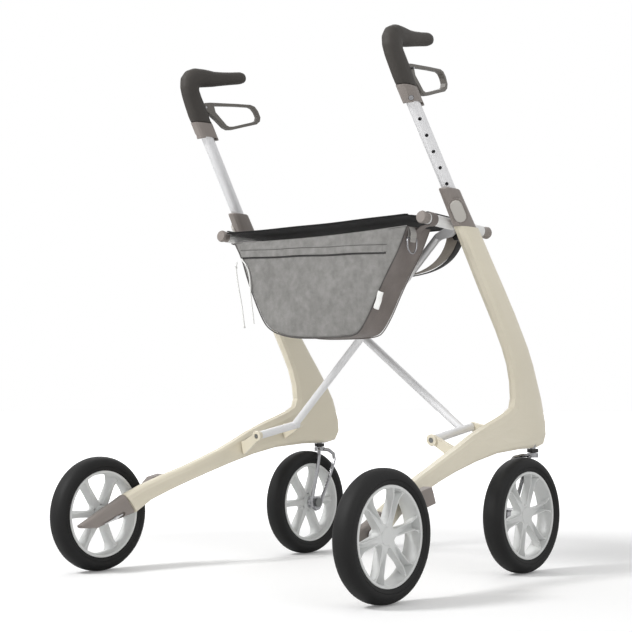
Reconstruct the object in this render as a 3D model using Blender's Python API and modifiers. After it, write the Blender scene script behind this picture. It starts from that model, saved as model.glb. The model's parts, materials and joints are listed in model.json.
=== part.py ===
"""Four-wheel rollator whose cross brace lets it fold sideways.

Metres. +X is the walking direction, +Y the walker's left, +Z up, and the origin
lies on the ground under the middle of the bounding box. The left side is modelled
and mirrored in the plane Y = 0. Only the cross brace, the seat, the bag and what
hangs on the bag are modelled for both sides at once.
"""
import bpy
import bmesh
from math import atan2, copysign, cos, pi, radians, sin, tan
from mathutils import Matrix, Vector

GAP = 0.0003
X_AXIS = Vector((1, 0, 0))
Y_AXIS = Vector((0, 1, 0))
Z_AXIS = Vector((0, 0, 1))

# Wheels
WHEEL_RADIUS = 0.100
TYRE_HALF_WIDTH = 0.0186
TYRE_BORE_RADIUS = 0.0760
RIM_RADIUS = TYRE_BORE_RADIUS - GAP
RIM_HALF_WIDTH = 0.0157
RIM_LIP = 0.0045
HUB_RADIUS = 0.0138
HUB_OUTER = 0.0094
HUB_INNER = -0.0145
SPOKES = 6
SPOKE_HUB_WIDTH = 0.0125
SPOKE_RIM_WIDTH = 0.0255
WHEEL_STEPS = 30
AXLE_RADIUS = 0.0050
AXLE_BORE_RADIUS = 0.0053
REAR_WHEEL = Vector((-0.2332, 0.3225, WHEEL_RADIUS))
FRONT_WHEEL = Vector((0.2332, 0.2536, WHEEL_RADIUS))

# Telescoping handle
HANDLE_FOOT = Vector((0.0756, 0.2501, 0.5875))
HANDLE_LEAN = radians(33.22)
HANDLE_SPLAY = 0.0511
HANDLE_TOE_IN = radians(7.0)
TUBE_RADIUS = 0.01075
TUBE_WALL = 0.0015
TUBE_BORE_RADIUS = 0.01105
TUBE_LOW = -0.035
TUBE_HIGH = 0.2500
STRUT_BORE_DEPTH = 0.158
HOLE_PITCH = 0.0297
HOLE_TOP = 0.2052
HOLE_COUNT = 7
HOLE_RADIUS = 0.0032
SOCKET_TOP = 0.6490
SOCKET_HALF_WIDTH = 0.0125
COLLAR_BOTTOM = 0.7790
COLLAR_TOP = 0.8055
BUTTON_PLACE = 0.0375
BUTTON_LENGTH = 0.040
BUTTON_WIDTH = 0.020

# Rails and cross brace
HINGE_TILT = radians(10.5)
RAIL_Y = 0.2262
RAIL_RADIUS = 0.0098
RAIL_SLOPE = -0.0594
RAIL_HEIGHT_AT_ORIGIN = 0.5990
RAIL_REAR = -0.0145
RAIL_FRONT = 0.1380
RAIL_CAP_REAR = 0.0160
RAIL_CAP_FRONT = 0.0210
CRADLE_X = 0.1050
CRADLE_LENGTH = 0.0240
CRADLE_CLEARANCE = 0.0012
HINGE_Y = 0.2030
HINGE_HEIGHT = 0.2210
BRACE_A_PLACE = 0.1888
BRACE_OFFSET = 0.0155
BRACE_SLOPE = radians(40.4)
BRACE_RADIUS = 0.0070
BRACE_END_Y = 0.1860
HINGE_BAR_RADIUS = 0.0045
ARM_CLEARANCE = 0.0022
SLEEVE_BORE_RADIUS = 0.0048
SLEEVE_RADIUS = 0.0074
SLEEVE_REAR = 0.0935
SLEEVE_FRONT = 0.1975

# Casters
STEM = Vector((0.2712, 0.2515, 0.0))
STEM_TOP = 0.2480
FORK_Y = 0.2255
FORK_ROD_RADIUS = 0.0035

# Rear brake and axle housing
HOUSING_Y = (0.2815, 0.3015)
SHOE_Y = (0.2975, 0.3155)
BRAKE_TRAVEL_ANGLE = radians(21.0)
BRAKE_GAP = 0.0038

# Seat, bag and what hangs on it
CLOTH = 0.0024
SEAT_REAR = -0.0300
SEAT_SAG = 0.0020
SEAT_CORNER = 0.0125
SEAT_FRONT = 0.122
BAG_REAR = -0.024
BAG_FRONT = 0.038
LOOP_START = 86
LOOP_TURN = 258
LOOP_REAR = 0.0035
LOOP_FRONT = 0.0195
SLING_REAR = 0.1975
SLING_FRONT = 0.2360
CORD_RADIUS = 0.0013

FINISHES = {
    "cream_paint": ((0.84, 0.815, 0.745), 0.45, 0.0),
    "taupe_plastic": ((0.49, 0.46, 0.43), 0.55, 0.0),
    "grip_rubber": ((0.235, 0.22, 0.20), 0.65, 0.0),
    "button_grey": ((0.745, 0.73, 0.71), 0.45, 0.0),
    "rim_plastic": ((0.785, 0.79, 0.785), 0.45, 0.0),
    "tyre_rubber": ((0.13, 0.13, 0.13), 0.75, 0.0),
    "silver_metal": ((0.86, 0.86, 0.87), 0.30, 1.0),
    "white_paint": ((0.90, 0.90, 0.89), 0.35, 0.0),
    "dark_plastic": ((0.14, 0.135, 0.13), 0.60, 0.0),
    "seat_cloth": ((0.08, 0.07, 0.065), 0.90, 0.0),
    "bag_cloth": ((0.62, 0.615, 0.61), 0.95, 0.0),
    "sling_cloth": ((0.40, 0.385, 0.37), 0.95, 0.0),
    "white_cord": ((0.92, 0.92, 0.90), 0.80, 0.0),
}


def clear_scene():
    for obj in list(bpy.data.objects):
        bpy.data.objects.remove(obj, do_unlink=True)


def collection(name, hidden=False):
    group = bpy.data.collections.new(name)
    bpy.context.scene.collection.children.link(group)
    group.hide_render = hidden
    return group


def linear(value):
    return value / 12.92 if value <= 0.04045 else ((value + 0.055) / 1.055) ** 2.4


def finish(name):
    """The Principled material of one finish, made the first time it is used."""
    found = bpy.data.materials.get(name)
    if found:
        return found
    colour, roughness, metallic = FINISHES[name]
    made = bpy.data.materials.new(name)
    made.use_nodes = True
    shader = made.node_tree.nodes["Principled BSDF"]
    shader.inputs["Base Color"].default_value = [linear(c) for c in colour] + [1.0]
    shader.inputs["Roughness"].default_value = roughness
    shader.inputs["Metallic"].default_value = metallic
    return made


def add_object(name, mesh, finish_name=None, matrix=None):
    """Link a mesh as a part, or as a hidden cutter when it has no finish."""
    obj = bpy.data.objects.new(name, mesh)
    if matrix is not None:
        obj.matrix_world = matrix
    if finish_name:
        mesh.materials.clear()
        mesh.materials.append(finish(finish_name))
        PARTS.objects.link(obj)
    else:
        obj.hide_render = True
        obj.display_type = "WIRE"
        CUTTERS.objects.link(obj)
    return obj


def from_bmesh(name, bm, finish_name=None, matrix=None, smooth=30):
    bmesh.ops.recalc_face_normals(bm, faces=bm.faces[:])
    mesh = bpy.data.meshes.new(name)
    bm.to_mesh(mesh)
    bm.free()
    mesh.shade_smooth()
    mesh.set_sharp_from_angle(angle=radians(smooth))
    return add_object(name, mesh, finish_name, matrix)


def frame_matrix(origin, z_dir, x_hint=X_AXIS):
    """A matrix at origin whose Z runs along z_dir and whose X leans to x_hint."""
    z = Vector(z_dir).normalized()
    y = z.cross(Vector(x_hint)).normalized()
    x = y.cross(z)
    rotation = Matrix((x, y, z)).transposed()
    return Matrix.Translation(origin) @ rotation.to_4x4()


def cylinder(name, start, end, radius, sides=16, finish_name=None, end_radius=None):
    """A straight round bar between two points, its origin on its axis at start."""
    start, end = Vector(start), Vector(end)
    run = end - start
    hint = X_AXIS if abs(run.normalized().x) < 0.8 else Y_AXIS
    bm = bmesh.new()
    bmesh.ops.create_cone(bm, cap_ends=True, segments=sides, radius1=radius,
                          radius2=radius if end_radius is None else end_radius,
                          depth=run.length)
    bmesh.ops.translate(bm, verts=bm.verts, vec=(0, 0, run.length / 2))
    return from_bmesh(name, bm, finish_name, frame_matrix(start, run, hint))


def box(name, low, high, finish_name=None):
    low, high = Vector(low), Vector(high)
    bm = bmesh.new()
    bmesh.ops.create_cube(bm, size=1.0)
    bmesh.ops.scale(bm, vec=high - low, verts=bm.verts)
    return from_bmesh(name, bm, finish_name, Matrix.Translation((low + high) / 2))


def loft(name, rings, finish_name=None, smooth=40):
    """A closed skin through rings of the same number of points."""
    bm = bmesh.new()
    loops = [[bm.verts.new(point) for point in ring] for ring in rings]
    for near, far in zip(loops, loops[1:]):
        for i in range(len(near)):
            j = (i + 1) % len(near)
            bm.faces.new((near[i], near[j], far[j], far[i]))
    bm.faces.new(loops[0])
    bm.faces.new(loops[-1])
    return from_bmesh(name, bm, finish_name, smooth=smooth)


def oval(centre, long_axis, short_axis, half_long, half_short, sides=16, power=2.5):
    """Points of a superellipse, which is a rounded rectangle above power 2."""
    centre = Vector(centre)
    points = []
    for i in range(sides):
        angle = 2 * pi * i / sides
        along = copysign(abs(cos(angle)) ** (2 / power), cos(angle)) * half_long
        across = copysign(abs(sin(angle)) ** (2 / power), sin(angle)) * half_short
        points.append(centre + Vector(long_axis) * along + Vector(short_axis) * across)
    return points


def baked(obj, name, finish_name=None):
    """Replace an object by the mesh that its curve or its modifiers give."""
    bpy.context.view_layer.update()
    graph = bpy.context.evaluated_depsgraph_get()
    mesh = bpy.data.meshes.new_from_object(obj.evaluated_get(graph))
    bm = bmesh.new()
    bm.from_mesh(mesh)
    bmesh.ops.remove_doubles(bm, verts=bm.verts, dist=0.00002)
    matrix = obj.matrix_world.copy()
    bpy.data.objects.remove(obj, do_unlink=True)
    return from_bmesh(name, bm, finish_name, matrix)


def plate(name, outlines, thickness, matrix, finish_name=None, bevel=0.0):
    """A flat sheet with the first outline as its edge and the others as holes."""
    curve = bpy.data.curves.new(name, "CURVE")
    curve.dimensions = "2D"
    curve.fill_mode = "BOTH"
    curve.extrude = thickness / 2 - bevel
    curve.bevel_depth = bevel
    curve.bevel_resolution = 1
    curve.offset = -bevel
    for outline in outlines:
        spline = curve.splines.new("POLY")
        spline.points.add(len(outline) - 1)
        for point, (x, y) in zip(spline.points, outline):
            point.co = (x, y, 0, 1)
        spline.use_cyclic_u = True
    obj = bpy.data.objects.new(name, curve)
    CUTTERS.objects.link(obj)
    obj.matrix_world = matrix
    return baked(obj, name, finish_name)


def smooth_path(points, steps=2):
    """Points of a smooth curve through the given ones."""
    points = [Vector(p) for p in points]
    padded = [2 * points[0] - points[1]] + points + [2 * points[-1] - points[-2]]
    path = []
    for a, b, c, d in zip(padded, padded[1:], padded[2:], padded[3:]):
        for i in range(steps):
            t = i / steps
            path.append(0.5 * ((2 * b) + (c - a) * t + (2 * a - 5 * b + 4 * c - d) * t ** 2
                               + (3 * b - a - 3 * c + d) * t ** 3))
    path.append(points[-1])
    return path


def rod(name, points, radius, finish_name=None, resolution=2, closed=False):
    """A bent round wire along the points, as a welded mesh."""
    curve = bpy.data.curves.new(name, "CURVE")
    curve.dimensions = "3D"
    curve.bevel_depth = radius
    curve.bevel_resolution = resolution
    curve.use_fill_caps = not closed
    spline = curve.splines.new("POLY")
    spline.points.add(len(points) - 1)
    for point, place in zip(spline.points, points):
        point.co = (*place, 1)
    spline.use_cyclic_u = closed
    obj = bpy.data.objects.new(name, curve)
    CUTTERS.objects.link(obj)
    return baked(obj, name, finish_name)


def turned(name, profile, steps, matrix, finish_name=None, closed=False):
    """A solid turned about local Z. The profile runs down its outer side."""
    mesh = bpy.data.meshes.new(name)
    edges = [(i, i + 1) for i in range(len(profile) - 1)]
    if closed:
        edges.append((len(profile) - 1, 0))
    mesh.from_pydata([(radius, 0, height) for radius, height in profile], edges, [])
    obj = add_object(name, mesh, finish_name, matrix)
    screw = obj.modifiers.new("Turn", "SCREW")
    screw.steps = steps
    screw.render_steps = steps
    screw.use_merge_vertices = True
    screw.merge_threshold = 0.00001
    return obj


def combine(obj, other, operation):
    modifier = obj.modifiers.new(operation.title(), "BOOLEAN")
    modifier.operation = operation
    modifier.object = other
    modifier.solver = "EXACT"
    return obj


def cut(obj, *cutters):
    for cutter in cutters:
        combine(obj, cutter, "DIFFERENCE")
    return obj


def join(obj, *others):
    for other in others:
        combine(obj, other, "UNION")
    return obj


def settle(obj):
    """Turn an object's live modifiers into its mesh, keeping name and finish."""
    name = obj.name
    finish_name = obj.data.materials[0].name
    obj.name = name + "_live"
    return baked(obj, name, finish_name)


def set_origin(obj, origin):
    """Move an object's origin to a point, upright, and leave its shape in place."""
    placed = Matrix.Translation(origin)
    obj.data.transform(placed.inverted() @ obj.matrix_world)
    obj.matrix_world = placed
    return obj


def mirrored(obj, name):
    """The same piece on the other side of the plane Y = 0."""
    mesh = obj.data.copy()
    flip = Matrix.Diagonal((1, -1, 1, 1))
    origin = obj.matrix_world.translation
    placed = Matrix.Translation(flip @ origin)
    mesh.transform(placed.inverted() @ flip @ obj.matrix_world)
    mesh.flip_normals()
    return add_object(name, mesh, obj.data.materials[0].name, placed)


def interpolate(value, table):
    """Straight-line interpolation in a short table of (value, result)."""
    if value <= table[0][0]:
        return table[0][1]
    for (low, first), (high, last) in zip(table, table[1:]):
        if value <= high:
            return first + (last - first) * (value - low) / (high - low)
    return table[-1][1]


def ease(t):
    t = min(max(t, 0.0), 1.0)
    return t * t * (3 - 2 * t)


# Directions of the handle tube: along it, forward across it, and out through the
# row of adjusting holes, which face backward and outward.
HANDLE_DIR = Vector((-tan(HANDLE_LEAN), -HANDLE_SPLAY, 1)).normalized()
HANDLE_FRONT = Vector((cos(HANDLE_LEAN), 0, sin(HANDLE_LEAN)))
HOLE_DIR = (HANDLE_DIR.cross(HANDLE_FRONT) * 0.63 - HANDLE_FRONT * 0.78).normalized()
HINGE_DIR = Vector((cos(HINGE_TILT), 0, sin(HINGE_TILT)))
HINGE_UP = Vector((-sin(HINGE_TILT), 0, cos(HINGE_TILT)))


def on_handle(along):
    return HANDLE_FOOT + HANDLE_DIR * along


def handle_at(height):
    return on_handle((height - HANDLE_FOOT.z) / HANDLE_DIR.z)


def brace_point(place, side, height):
    """A point on the brace hinges: place along them, y, and height across them."""
    return HINGE_DIR * place + HINGE_UP * height + Vector((0, side, 0))


def rail_point(x, side=1):
    return Vector((x, side * RAIL_Y, RAIL_HEIGHT_AT_ORIGIN + RAIL_SLOPE * x))


def frame_y(x, z):
    """The half width of the frame: its legs splay out, its struts follow the handle."""
    leg = interpolate(x, ((-0.21, 0.2910), (-0.15, 0.2830), (-0.08, 0.2680), (0.0, 0.2605),
                          (0.10, 0.2585), (0.20, 0.2560), (0.32, 0.2440)))
    strut = handle_at(z).y
    return leg + (strut - leg) * ease((z - 0.30) / 0.17)


def frame_half_thickness(z):
    return interpolate(z, ((0.13, 0.0104), (0.34, 0.0108), (0.46, 0.0129), (0.55, 0.0135)))


def frame():
    """Strut, knee and rear leg in one bent piece, bored for the tube and the stem."""
    rear_edge = ((0.0525, 0.5882), (0.0820, 0.540), (0.1120, 0.490), (0.1370, 0.450),
                 (0.1560, 0.420), (0.1740, 0.390), (0.1895, 0.360), (0.1985, 0.330),
                 (0.2010, 0.302), (0.1950, 0.2870), (0.1760, 0.2780), (0.1480, 0.2685),
                 (0.1180, 0.2590), (0.0950, 0.2505), (0.0725, 0.2420), (0.0400, 0.2270),
                 (0.0000, 0.2100), (-0.0410, 0.1945), (-0.0820, 0.1800), (-0.1250, 0.1655),
                 (-0.1700, 0.1490), (-0.2060, 0.1335))
    front_edge = ((0.1045, 0.5882), (0.1380, 0.540), (0.1735, 0.490), (0.2010, 0.450),
                  (0.2210, 0.420), (0.2440, 0.390), (0.2657, 0.360), (0.2850, 0.330),
                  (0.3022, 0.300), (0.3165, 0.2600), (0.3195, 0.2370), (0.3110, 0.2205),
                  (0.2850, 0.2147), (0.2233, 0.2140), (0.1500, 0.2085), (0.0850, 0.1965),
                  (0.0250, 0.1815), (-0.0200, 0.1685), (-0.0660, 0.1540), (-0.1110, 0.1375),
                  (-0.1500, 0.1210), (-0.1815, 0.1005))
    rings = []
    for (xr, zr), (xf, zf) in zip(rear_edge, front_edge):
        rear = Vector((xr, frame_y(xr, zr), zr))
        front = Vector((xf, frame_y(xf, zf), zf))
        centre = (rear + front) / 2
        half = frame_half_thickness(centre.z)
        long_axis = (front - rear).normalized()
        rings.append(oval(centre, long_axis, Y_AXIS, (front - rear).length / 2, half,
                          sides=14, power=3.0))
    body = loft("left_frame", rings, "cream_paint")
    tube_bore = cylinder("tube_bore", on_handle(0.03), on_handle(-STRUT_BORE_DEPTH),
                         TUBE_BORE_RADIUS, 24)
    stem_bore = cylinder("stem_bore", STEM + Z_AXIS * 0.19, STEM + Z_AXIS * (STEM_TOP + 0.002),
                         AXLE_BORE_RADIUS)
    return settle(cut(body, tube_bore, stem_bore))


def pill(length, width, steps=5):
    """The outline of a bar with round ends, long in x."""
    reach = length / 2 - width / 2
    right = [(reach + width / 2 * cos(a), width / 2 * sin(a))
             for a in [pi * (i / steps - 0.5) for i in range(steps + 1)]]
    return right + [(-x, -y) for x, y in right]


def button_matrix(radius):
    place = on_handle(BUTTON_PLACE) + HOLE_DIR * radius
    return frame_matrix(place, HOLE_DIR, HANDLE_DIR)


def socket():
    """The moulded mouth of the strut, with the pocket of the height button."""
    rings = []
    for z, half_long in ((0.5886, 0.0254), (0.6000, 0.0245), (0.6200, 0.0228),
                         (0.6400, 0.0216), (SOCKET_TOP - 0.002, 0.0213),
                         (SOCKET_TOP, 0.0198)):
        centre = handle_at(z)
        half_short = SOCKET_HALF_WIDTH if z < SOCKET_TOP else SOCKET_HALF_WIDTH - 0.0006
        rings.append(oval(centre, X_AXIS, Y_AXIS, half_long, half_short, power=2.7))
    body = loft("left_socket", rings, "taupe_plastic")
    boss = plate("button_boss", [pill(BUTTON_LENGTH + 0.006, BUTTON_WIDTH + 0.006)], 0.005,
                 button_matrix(0.0152))
    pocket = plate("button_pocket", [pill(BUTTON_LENGTH + 0.0008, BUTTON_WIDTH + 0.0008)],
                   0.0080, button_matrix(0.0158))
    bore = cylinder("socket_bore", on_handle(-0.02), on_handle(0.10), TUBE_BORE_RADIUS, 24)
    trim = box("socket_trim", (-0.1, 0.2, 0.55), (0.2, 0.3, 0.5885))
    return settle(cut(join(body, boss), pocket, bore, trim))


def height_button():
    body = plate("left_height_button", [pill(BUTTON_LENGTH, BUTTON_WIDTH)], 0.0058,
                 button_matrix(0.0177), "button_grey", bevel=0.0010)
    return set_origin(body, button_matrix(0.0177).translation)


def handle_tube():
    """The telescoping tube with its row of adjusting holes."""
    inner = TUBE_RADIUS - TUBE_WALL
    profile = ((TUBE_RADIUS, TUBE_HIGH), (TUBE_RADIUS, TUBE_LOW), (inner, TUBE_LOW),
               (inner, TUBE_HIGH))
    body = turned("left_handle_tube", profile, 20,
                  frame_matrix(HANDLE_FOOT, HANDLE_DIR, HANDLE_FRONT), "silver_metal", True)
    for i in range(HOLE_COUNT):
        centre = on_handle(HOLE_TOP - i * HOLE_PITCH)
        cut(body, cylinder("tube_hole", centre + HOLE_DIR * 0.006, centre + HOLE_DIR * 0.014,
                           HOLE_RADIUS, 8))
    return settle(body)


def collar():
    """The moulding between tube and grip, with a lip in front and behind the tube."""
    rings = []
    for z in (COLLAR_BOTTOM, COLLAR_TOP):
        rings.append(oval(handle_at(z), lever_front(), lever_side(), 0.0212, 0.0136, power=2.7))
    body = loft("left_collar", rings, "taupe_plastic")
    foot = handle_at(COLLAR_BOTTOM)
    notch = box("collar_notch", foot + Vector((-0.0150, -0.03, -0.01)),
                foot + Vector((0.0130, 0.03, 0.0030)))
    bore = cylinder("collar_bore", handle_at(COLLAR_BOTTOM - 0.02), on_handle(TUBE_HIGH + 0.001),
                    TUBE_BORE_RADIUS, 24)
    seat = screw_place(0.0132)
    recess = cylinder("screw_recess", seat, seat + HOLE_DIR * 0.01, 0.0046, 16)
    return settle(cut(body, notch, bore, recess))


def screw_place(radius):
    return handle_at(0.7920) + HOLE_DIR * radius


def collar_screw():
    """A round head with a cross slot, sunk in the collar."""
    low, high = screw_place(0.0135), screw_place(0.0172)
    body = cylinder("left_collar_screw", low, high, 0.0040, 16, "silver_metal")
    matrix = frame_matrix(screw_place(0.0176), HOLE_DIR, HANDLE_DIR)
    cross = [(0.0026, 0.0006), (0.0006, 0.0006), (0.0006, 0.0026)]
    outline = []
    for turn in range(4):
        for x, y in cross:
            c, s = cos(turn * pi / 2), sin(turn * pi / 2)
            outline.append((x * c - y * s, x * s + y * c))
    return settle(cut(body, plate("screw_slot", [outline], 0.0030, matrix)))


LEVER_PIVOT = Vector((-0.0660, 0.2352, 0.8345))


def grip():
    """Palm grip and its stem in one rubber moulding, slotted for the lever."""
    stations = (  # x, y, z of the middle, turn of the section, half depth, half width
        (-0.0672, 0.2390, COLLAR_TOP + GAP, 0, 0.0214, 0.0138),
        (-0.0765, 0.2388, 0.8220, 20, 0.0200, 0.0141),
        (-0.0890, 0.2382, 0.8420, 30, 0.0180, 0.0143),
        (-0.0972, 0.2372, 0.8570, 26, 0.0173, 0.0144),
        (-0.1003, 0.2362, 0.8680, 8, 0.0183, 0.0146),
        (-0.0995, 0.2352, 0.8770, -18, 0.0202, 0.0147),
        (-0.0940, 0.2341, 0.8832, -42, 0.0204, 0.0147),
        (-0.0850, 0.2328, 0.8868, -62, 0.0189, 0.0147),
        (-0.0700, 0.2300, 0.8880, -80, 0.0166, 0.0142),
        (-0.0500, 0.2272, 0.8892, -85, 0.0141, 0.0137),
        (-0.0300, 0.2245, 0.8925, -81, 0.0126, 0.0132),
        (-0.0080, 0.2222, 0.8965, -79, 0.0118, 0.0128),
        (0.0100, 0.2202, 0.9000, -79, 0.0116, 0.0124),
        (0.0188, 0.2192, 0.9014, -79, 0.0095, 0.0100),
        (0.0234, 0.2188, 0.9020, -79, 0.0048, 0.0052))
    rings = []
    for x, y, z, turn, depth, width in stations:
        direction = lever_front() * cos(radians(turn)) + Z_AXIS * sin(radians(turn))
        rings.append(oval((x, y, z), direction, lever_side(), depth, width, 14, 2.4))
    body = loft("left_grip", rings, "grip_rubber", smooth=60)
    slot = box("lever_slot", (-0.0725, -0.0062, 0.8110), (-0.0150, 0.0062, 0.8490))
    slot.matrix_world = lever_turn() @ Matrix.Translation((0, LEVER_PIVOT.y, 0)) @ slot.matrix_world
    pin_hole = cylinder("pin_hole", LEVER_PIVOT - lever_side() * 0.03,
                        LEVER_PIVOT + lever_side() * 0.03, 0.0023, 12)
    return settle(cut(body, slot, pin_hole))


def lever_side():
    return Vector((sin(HANDLE_TOE_IN), cos(HANDLE_TOE_IN), 0))


def lever_front():
    return Vector((cos(HANDLE_TOE_IN), -sin(HANDLE_TOE_IN), 0))


def lever_turn():
    """The toe-in of the lever about an upright line through its pin."""
    turn = Matrix.Rotation(-HANDLE_TOE_IN, 4, "Z")
    return Matrix.Translation(LEVER_PIVOT) @ turn @ Matrix.Translation(-LEVER_PIVOT)


def brake_lever():
    """A closed loop of flat bar that hangs on its pin in the front of the grip."""
    outer = ((-0.0705, 0.8300), (-0.0705, 0.8390), (-0.0650, 0.8435), (-0.0540, 0.8455),
             (-0.0300, 0.8478), (0.0050, 0.8512), (0.0400, 0.8540), (0.0500, 0.8518),
             (0.0580, 0.8445), (0.0640, 0.8330), (0.0628, 0.8252), (0.0555, 0.8188),
             (0.0300, 0.8112), (0.0000, 0.8020), (-0.0120, 0.8002), (-0.0220, 0.8030),
             (-0.0360, 0.8130), (-0.0500, 0.8215), (-0.0640, 0.8285))
    inner = ((-0.0460, 0.8405), (-0.0250, 0.8432), (0.0050, 0.8466), (0.0380, 0.8494),
             (0.0462, 0.8474), (0.0530, 0.8410), (0.0575, 0.8330), (0.0558, 0.8266),
             (0.0500, 0.8232), (0.0270, 0.8162), (-0.0010, 0.8076), (-0.0100, 0.8064),
             (-0.0160, 0.8080), (-0.0290, 0.8185), (-0.0420, 0.8290))
    upright = Matrix.Translation(LEVER_PIVOT) @ Matrix.Rotation(pi / 2, 4, "X")
    local = [[(x - LEVER_PIVOT.x, z - LEVER_PIVOT.z) for x, z in ring] for ring in (outer, inner)]
    body = plate("left_brake_lever", local, 0.0110, lever_turn() @ upright, "dark_plastic",
                 bevel=0.0010)
    bore = cylinder("lever_bore", LEVER_PIVOT - lever_side() * 0.01,
                    LEVER_PIVOT + lever_side() * 0.01, 0.0023, 12)
    return set_origin(settle(cut(body, bore)), LEVER_PIVOT)


def lever_pin():
    return cylinder("left_lever_pin", LEVER_PIVOT - lever_side() * 0.0085,
                    LEVER_PIVOT + lever_side() * 0.0175, 0.0020, 12, "silver_metal")


def tyre_mesh():
    """Solid tyre: rounded tread, upright walls and a plain bore."""
    half = ((TYRE_BORE_RADIUS, 0.0146), (0.0800, 0.0168), (0.0870, TYRE_HALF_WIDTH),
            (0.0935, 0.0168), (0.0980, 0.0112), (WHEEL_RADIUS, 0.0042))
    profile = list(half) + [(r, -h) for r, h in reversed(half)]
    return settle(turned("tyre", profile, WHEEL_STEPS, Matrix(), "tyre_rubber", True))


def spoke_window(reach_in, reach_out):
    """The outline between two spokes, whose edges flare toward the rim."""
    points = []
    for side in (1, -1):
        ends = []
        for radius, width in ((reach_in, SPOKE_HUB_WIDTH), (reach_out, SPOKE_RIM_WIDTH)):
            half_angle = pi / SPOKES - atan2(width / 2, radius)
            ends.append((radius, side * half_angle))
        points.append(ends)
    (inner_r, inner_a), (outer_r, outer_a) = points[0]
    outline = []
    for i in range(4):
        angle = outer_a * (1 - i / 1.5)
        outline.append((outer_r * cos(angle), outer_r * sin(angle)))
    outline.append((inner_r * cos(-inner_a), inner_r * sin(-inner_a)))
    outline.append((inner_r * cos(inner_a), inner_r * sin(inner_a)))
    return outline


def rim_mesh():
    """Deep rim with six spokes that flare from hub to rim."""
    well = RIM_RADIUS - RIM_LIP
    profile = ((0.0, HUB_OUTER), (HUB_RADIUS - 0.003, HUB_OUTER), (HUB_RADIUS + 0.003, 0.0065),
               (well, RIM_HALF_WIDTH), (RIM_RADIUS, RIM_HALF_WIDTH),
               (RIM_RADIUS, -RIM_HALF_WIDTH), (well, -RIM_HALF_WIDTH),
               (0.0670, -0.0080), (HUB_RADIUS + 0.003, -0.0080), (HUB_RADIUS, HUB_INNER),
               (0.0, HUB_INNER))
    body = turned("rim", profile, WHEEL_STEPS, Matrix(), "rim_plastic")
    for i in range(SPOKES):
        between = Matrix.Rotation(2 * pi * (i + 0.5) / SPOKES, 4, "Z")
        cut(body, plate("rim_window", [spoke_window(0.0190, 0.0668)], 0.05, between))
    bore = cylinder("rim_bore", (0, 0, HUB_INNER - 0.01), (0, 0, HUB_OUTER - 0.0024),
                    AXLE_BORE_RADIUS)
    return settle(cut(body, bore))


def wheels():
    """Four tyres and four rims, each on its own axle line."""
    tyre = tyre_mesh()
    rim = rim_mesh()
    upright = Matrix.Rotation(-pi / 2, 4, "X")
    places = (("left_rear", REAR_WHEEL, 1, 0.0), ("left_front", FRONT_WHEEL, 1, 3.0),
              ("right_rear", REAR_WHEEL, -1, 12.0), ("right_front", FRONT_WHEEL, -1, 12.0))
    for name, centre, side, phase in places:
        centre = Vector((centre.x, side * centre.y, centre.z))
        facing = Matrix.Rotation(0 if side > 0 else pi, 4, "Z")
        turn = Matrix.Rotation(radians(-phase * side if side > 0 else phase), 4, "Z")
        matrix = Matrix.Translation(centre) @ facing @ upright @ turn
        add_copy(name + "_tyre", tyre, matrix)
        add_copy(name + "_rim", rim, matrix)
    bpy.data.objects.remove(tyre, do_unlink=True)
    bpy.data.objects.remove(rim, do_unlink=True)


def add_copy(name, source, matrix):
    obj = bpy.data.objects.new(name, source.data)
    obj.matrix_world = matrix
    PARTS.objects.link(obj)
    return obj


def axle_housing():
    """The tapered boot on the end of the leg that carries the axle and brake rod."""
    sections = (((-0.2068, 0.1330), (-0.1822, 0.0998)), ((-0.2330, 0.1192), (-0.2110, 0.0926)),
                ((-0.2560, 0.1090), (-0.2380, 0.0860)), ((-0.2800, 0.0963), (-0.2650, 0.0782)),
                ((-0.3010, 0.0850), (-0.2980, 0.0800)))
    low, high = HOUSING_Y
    rings = []
    for i, ((xt, zt), (xb, zb)) in enumerate(sections):
        shrink = 0.0006 * i
        top, bottom = Vector((xt, 0, zt)), Vector((xb, 0, zb))
        centre = (top + bottom) / 2 + Y_AXIS * (low + high) / 2
        rings.append(oval(centre, (top - bottom).normalized(), Y_AXIS,
                          (top - bottom).length / 2, (high - low) / 2 - shrink, power=3.5))
    body = loft("left_axle_housing", rings, "taupe_plastic")
    axle_hole = cylinder("axle_hole", (REAR_WHEEL.x, 0.2890, REAR_WHEEL.z),
                         (REAR_WHEEL.x, 0.32, REAR_WHEEL.z), AXLE_BORE_RADIUS)
    slot = plate("rod_slot", [pill(0.058, 0.0090)], 0.0130, rod_matrix(low))
    return settle(cut(body, axle_hole, slot))


def rod_matrix(y):
    centre = Vector((-0.2330, y, 0.0905))
    along = Vector((-cos(BRAKE_TRAVEL_ANGLE), 0, -sin(BRAKE_TRAVEL_ANGLE)))
    return frame_matrix(centre, Y_AXIS, along)


def brake_rod():
    """The pull rod of the brake with its end stop, in the slot of the housing."""
    matrix = rod_matrix(HOUSING_Y[0] + 0.0034)
    start, end = matrix @ Vector((-0.0240, 0, 0)), matrix @ Vector((0.0180, 0, 0))
    body = cylinder("left_brake_rod", start, end, 0.0014, 12, "silver_metal")
    stop = cylinder("rod_stop", matrix @ Vector((-0.0140, 0, 0)),
                    matrix @ Vector((-0.0060, 0, 0)), 0.0028, 12)
    return settle(join(body, stop))


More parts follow.
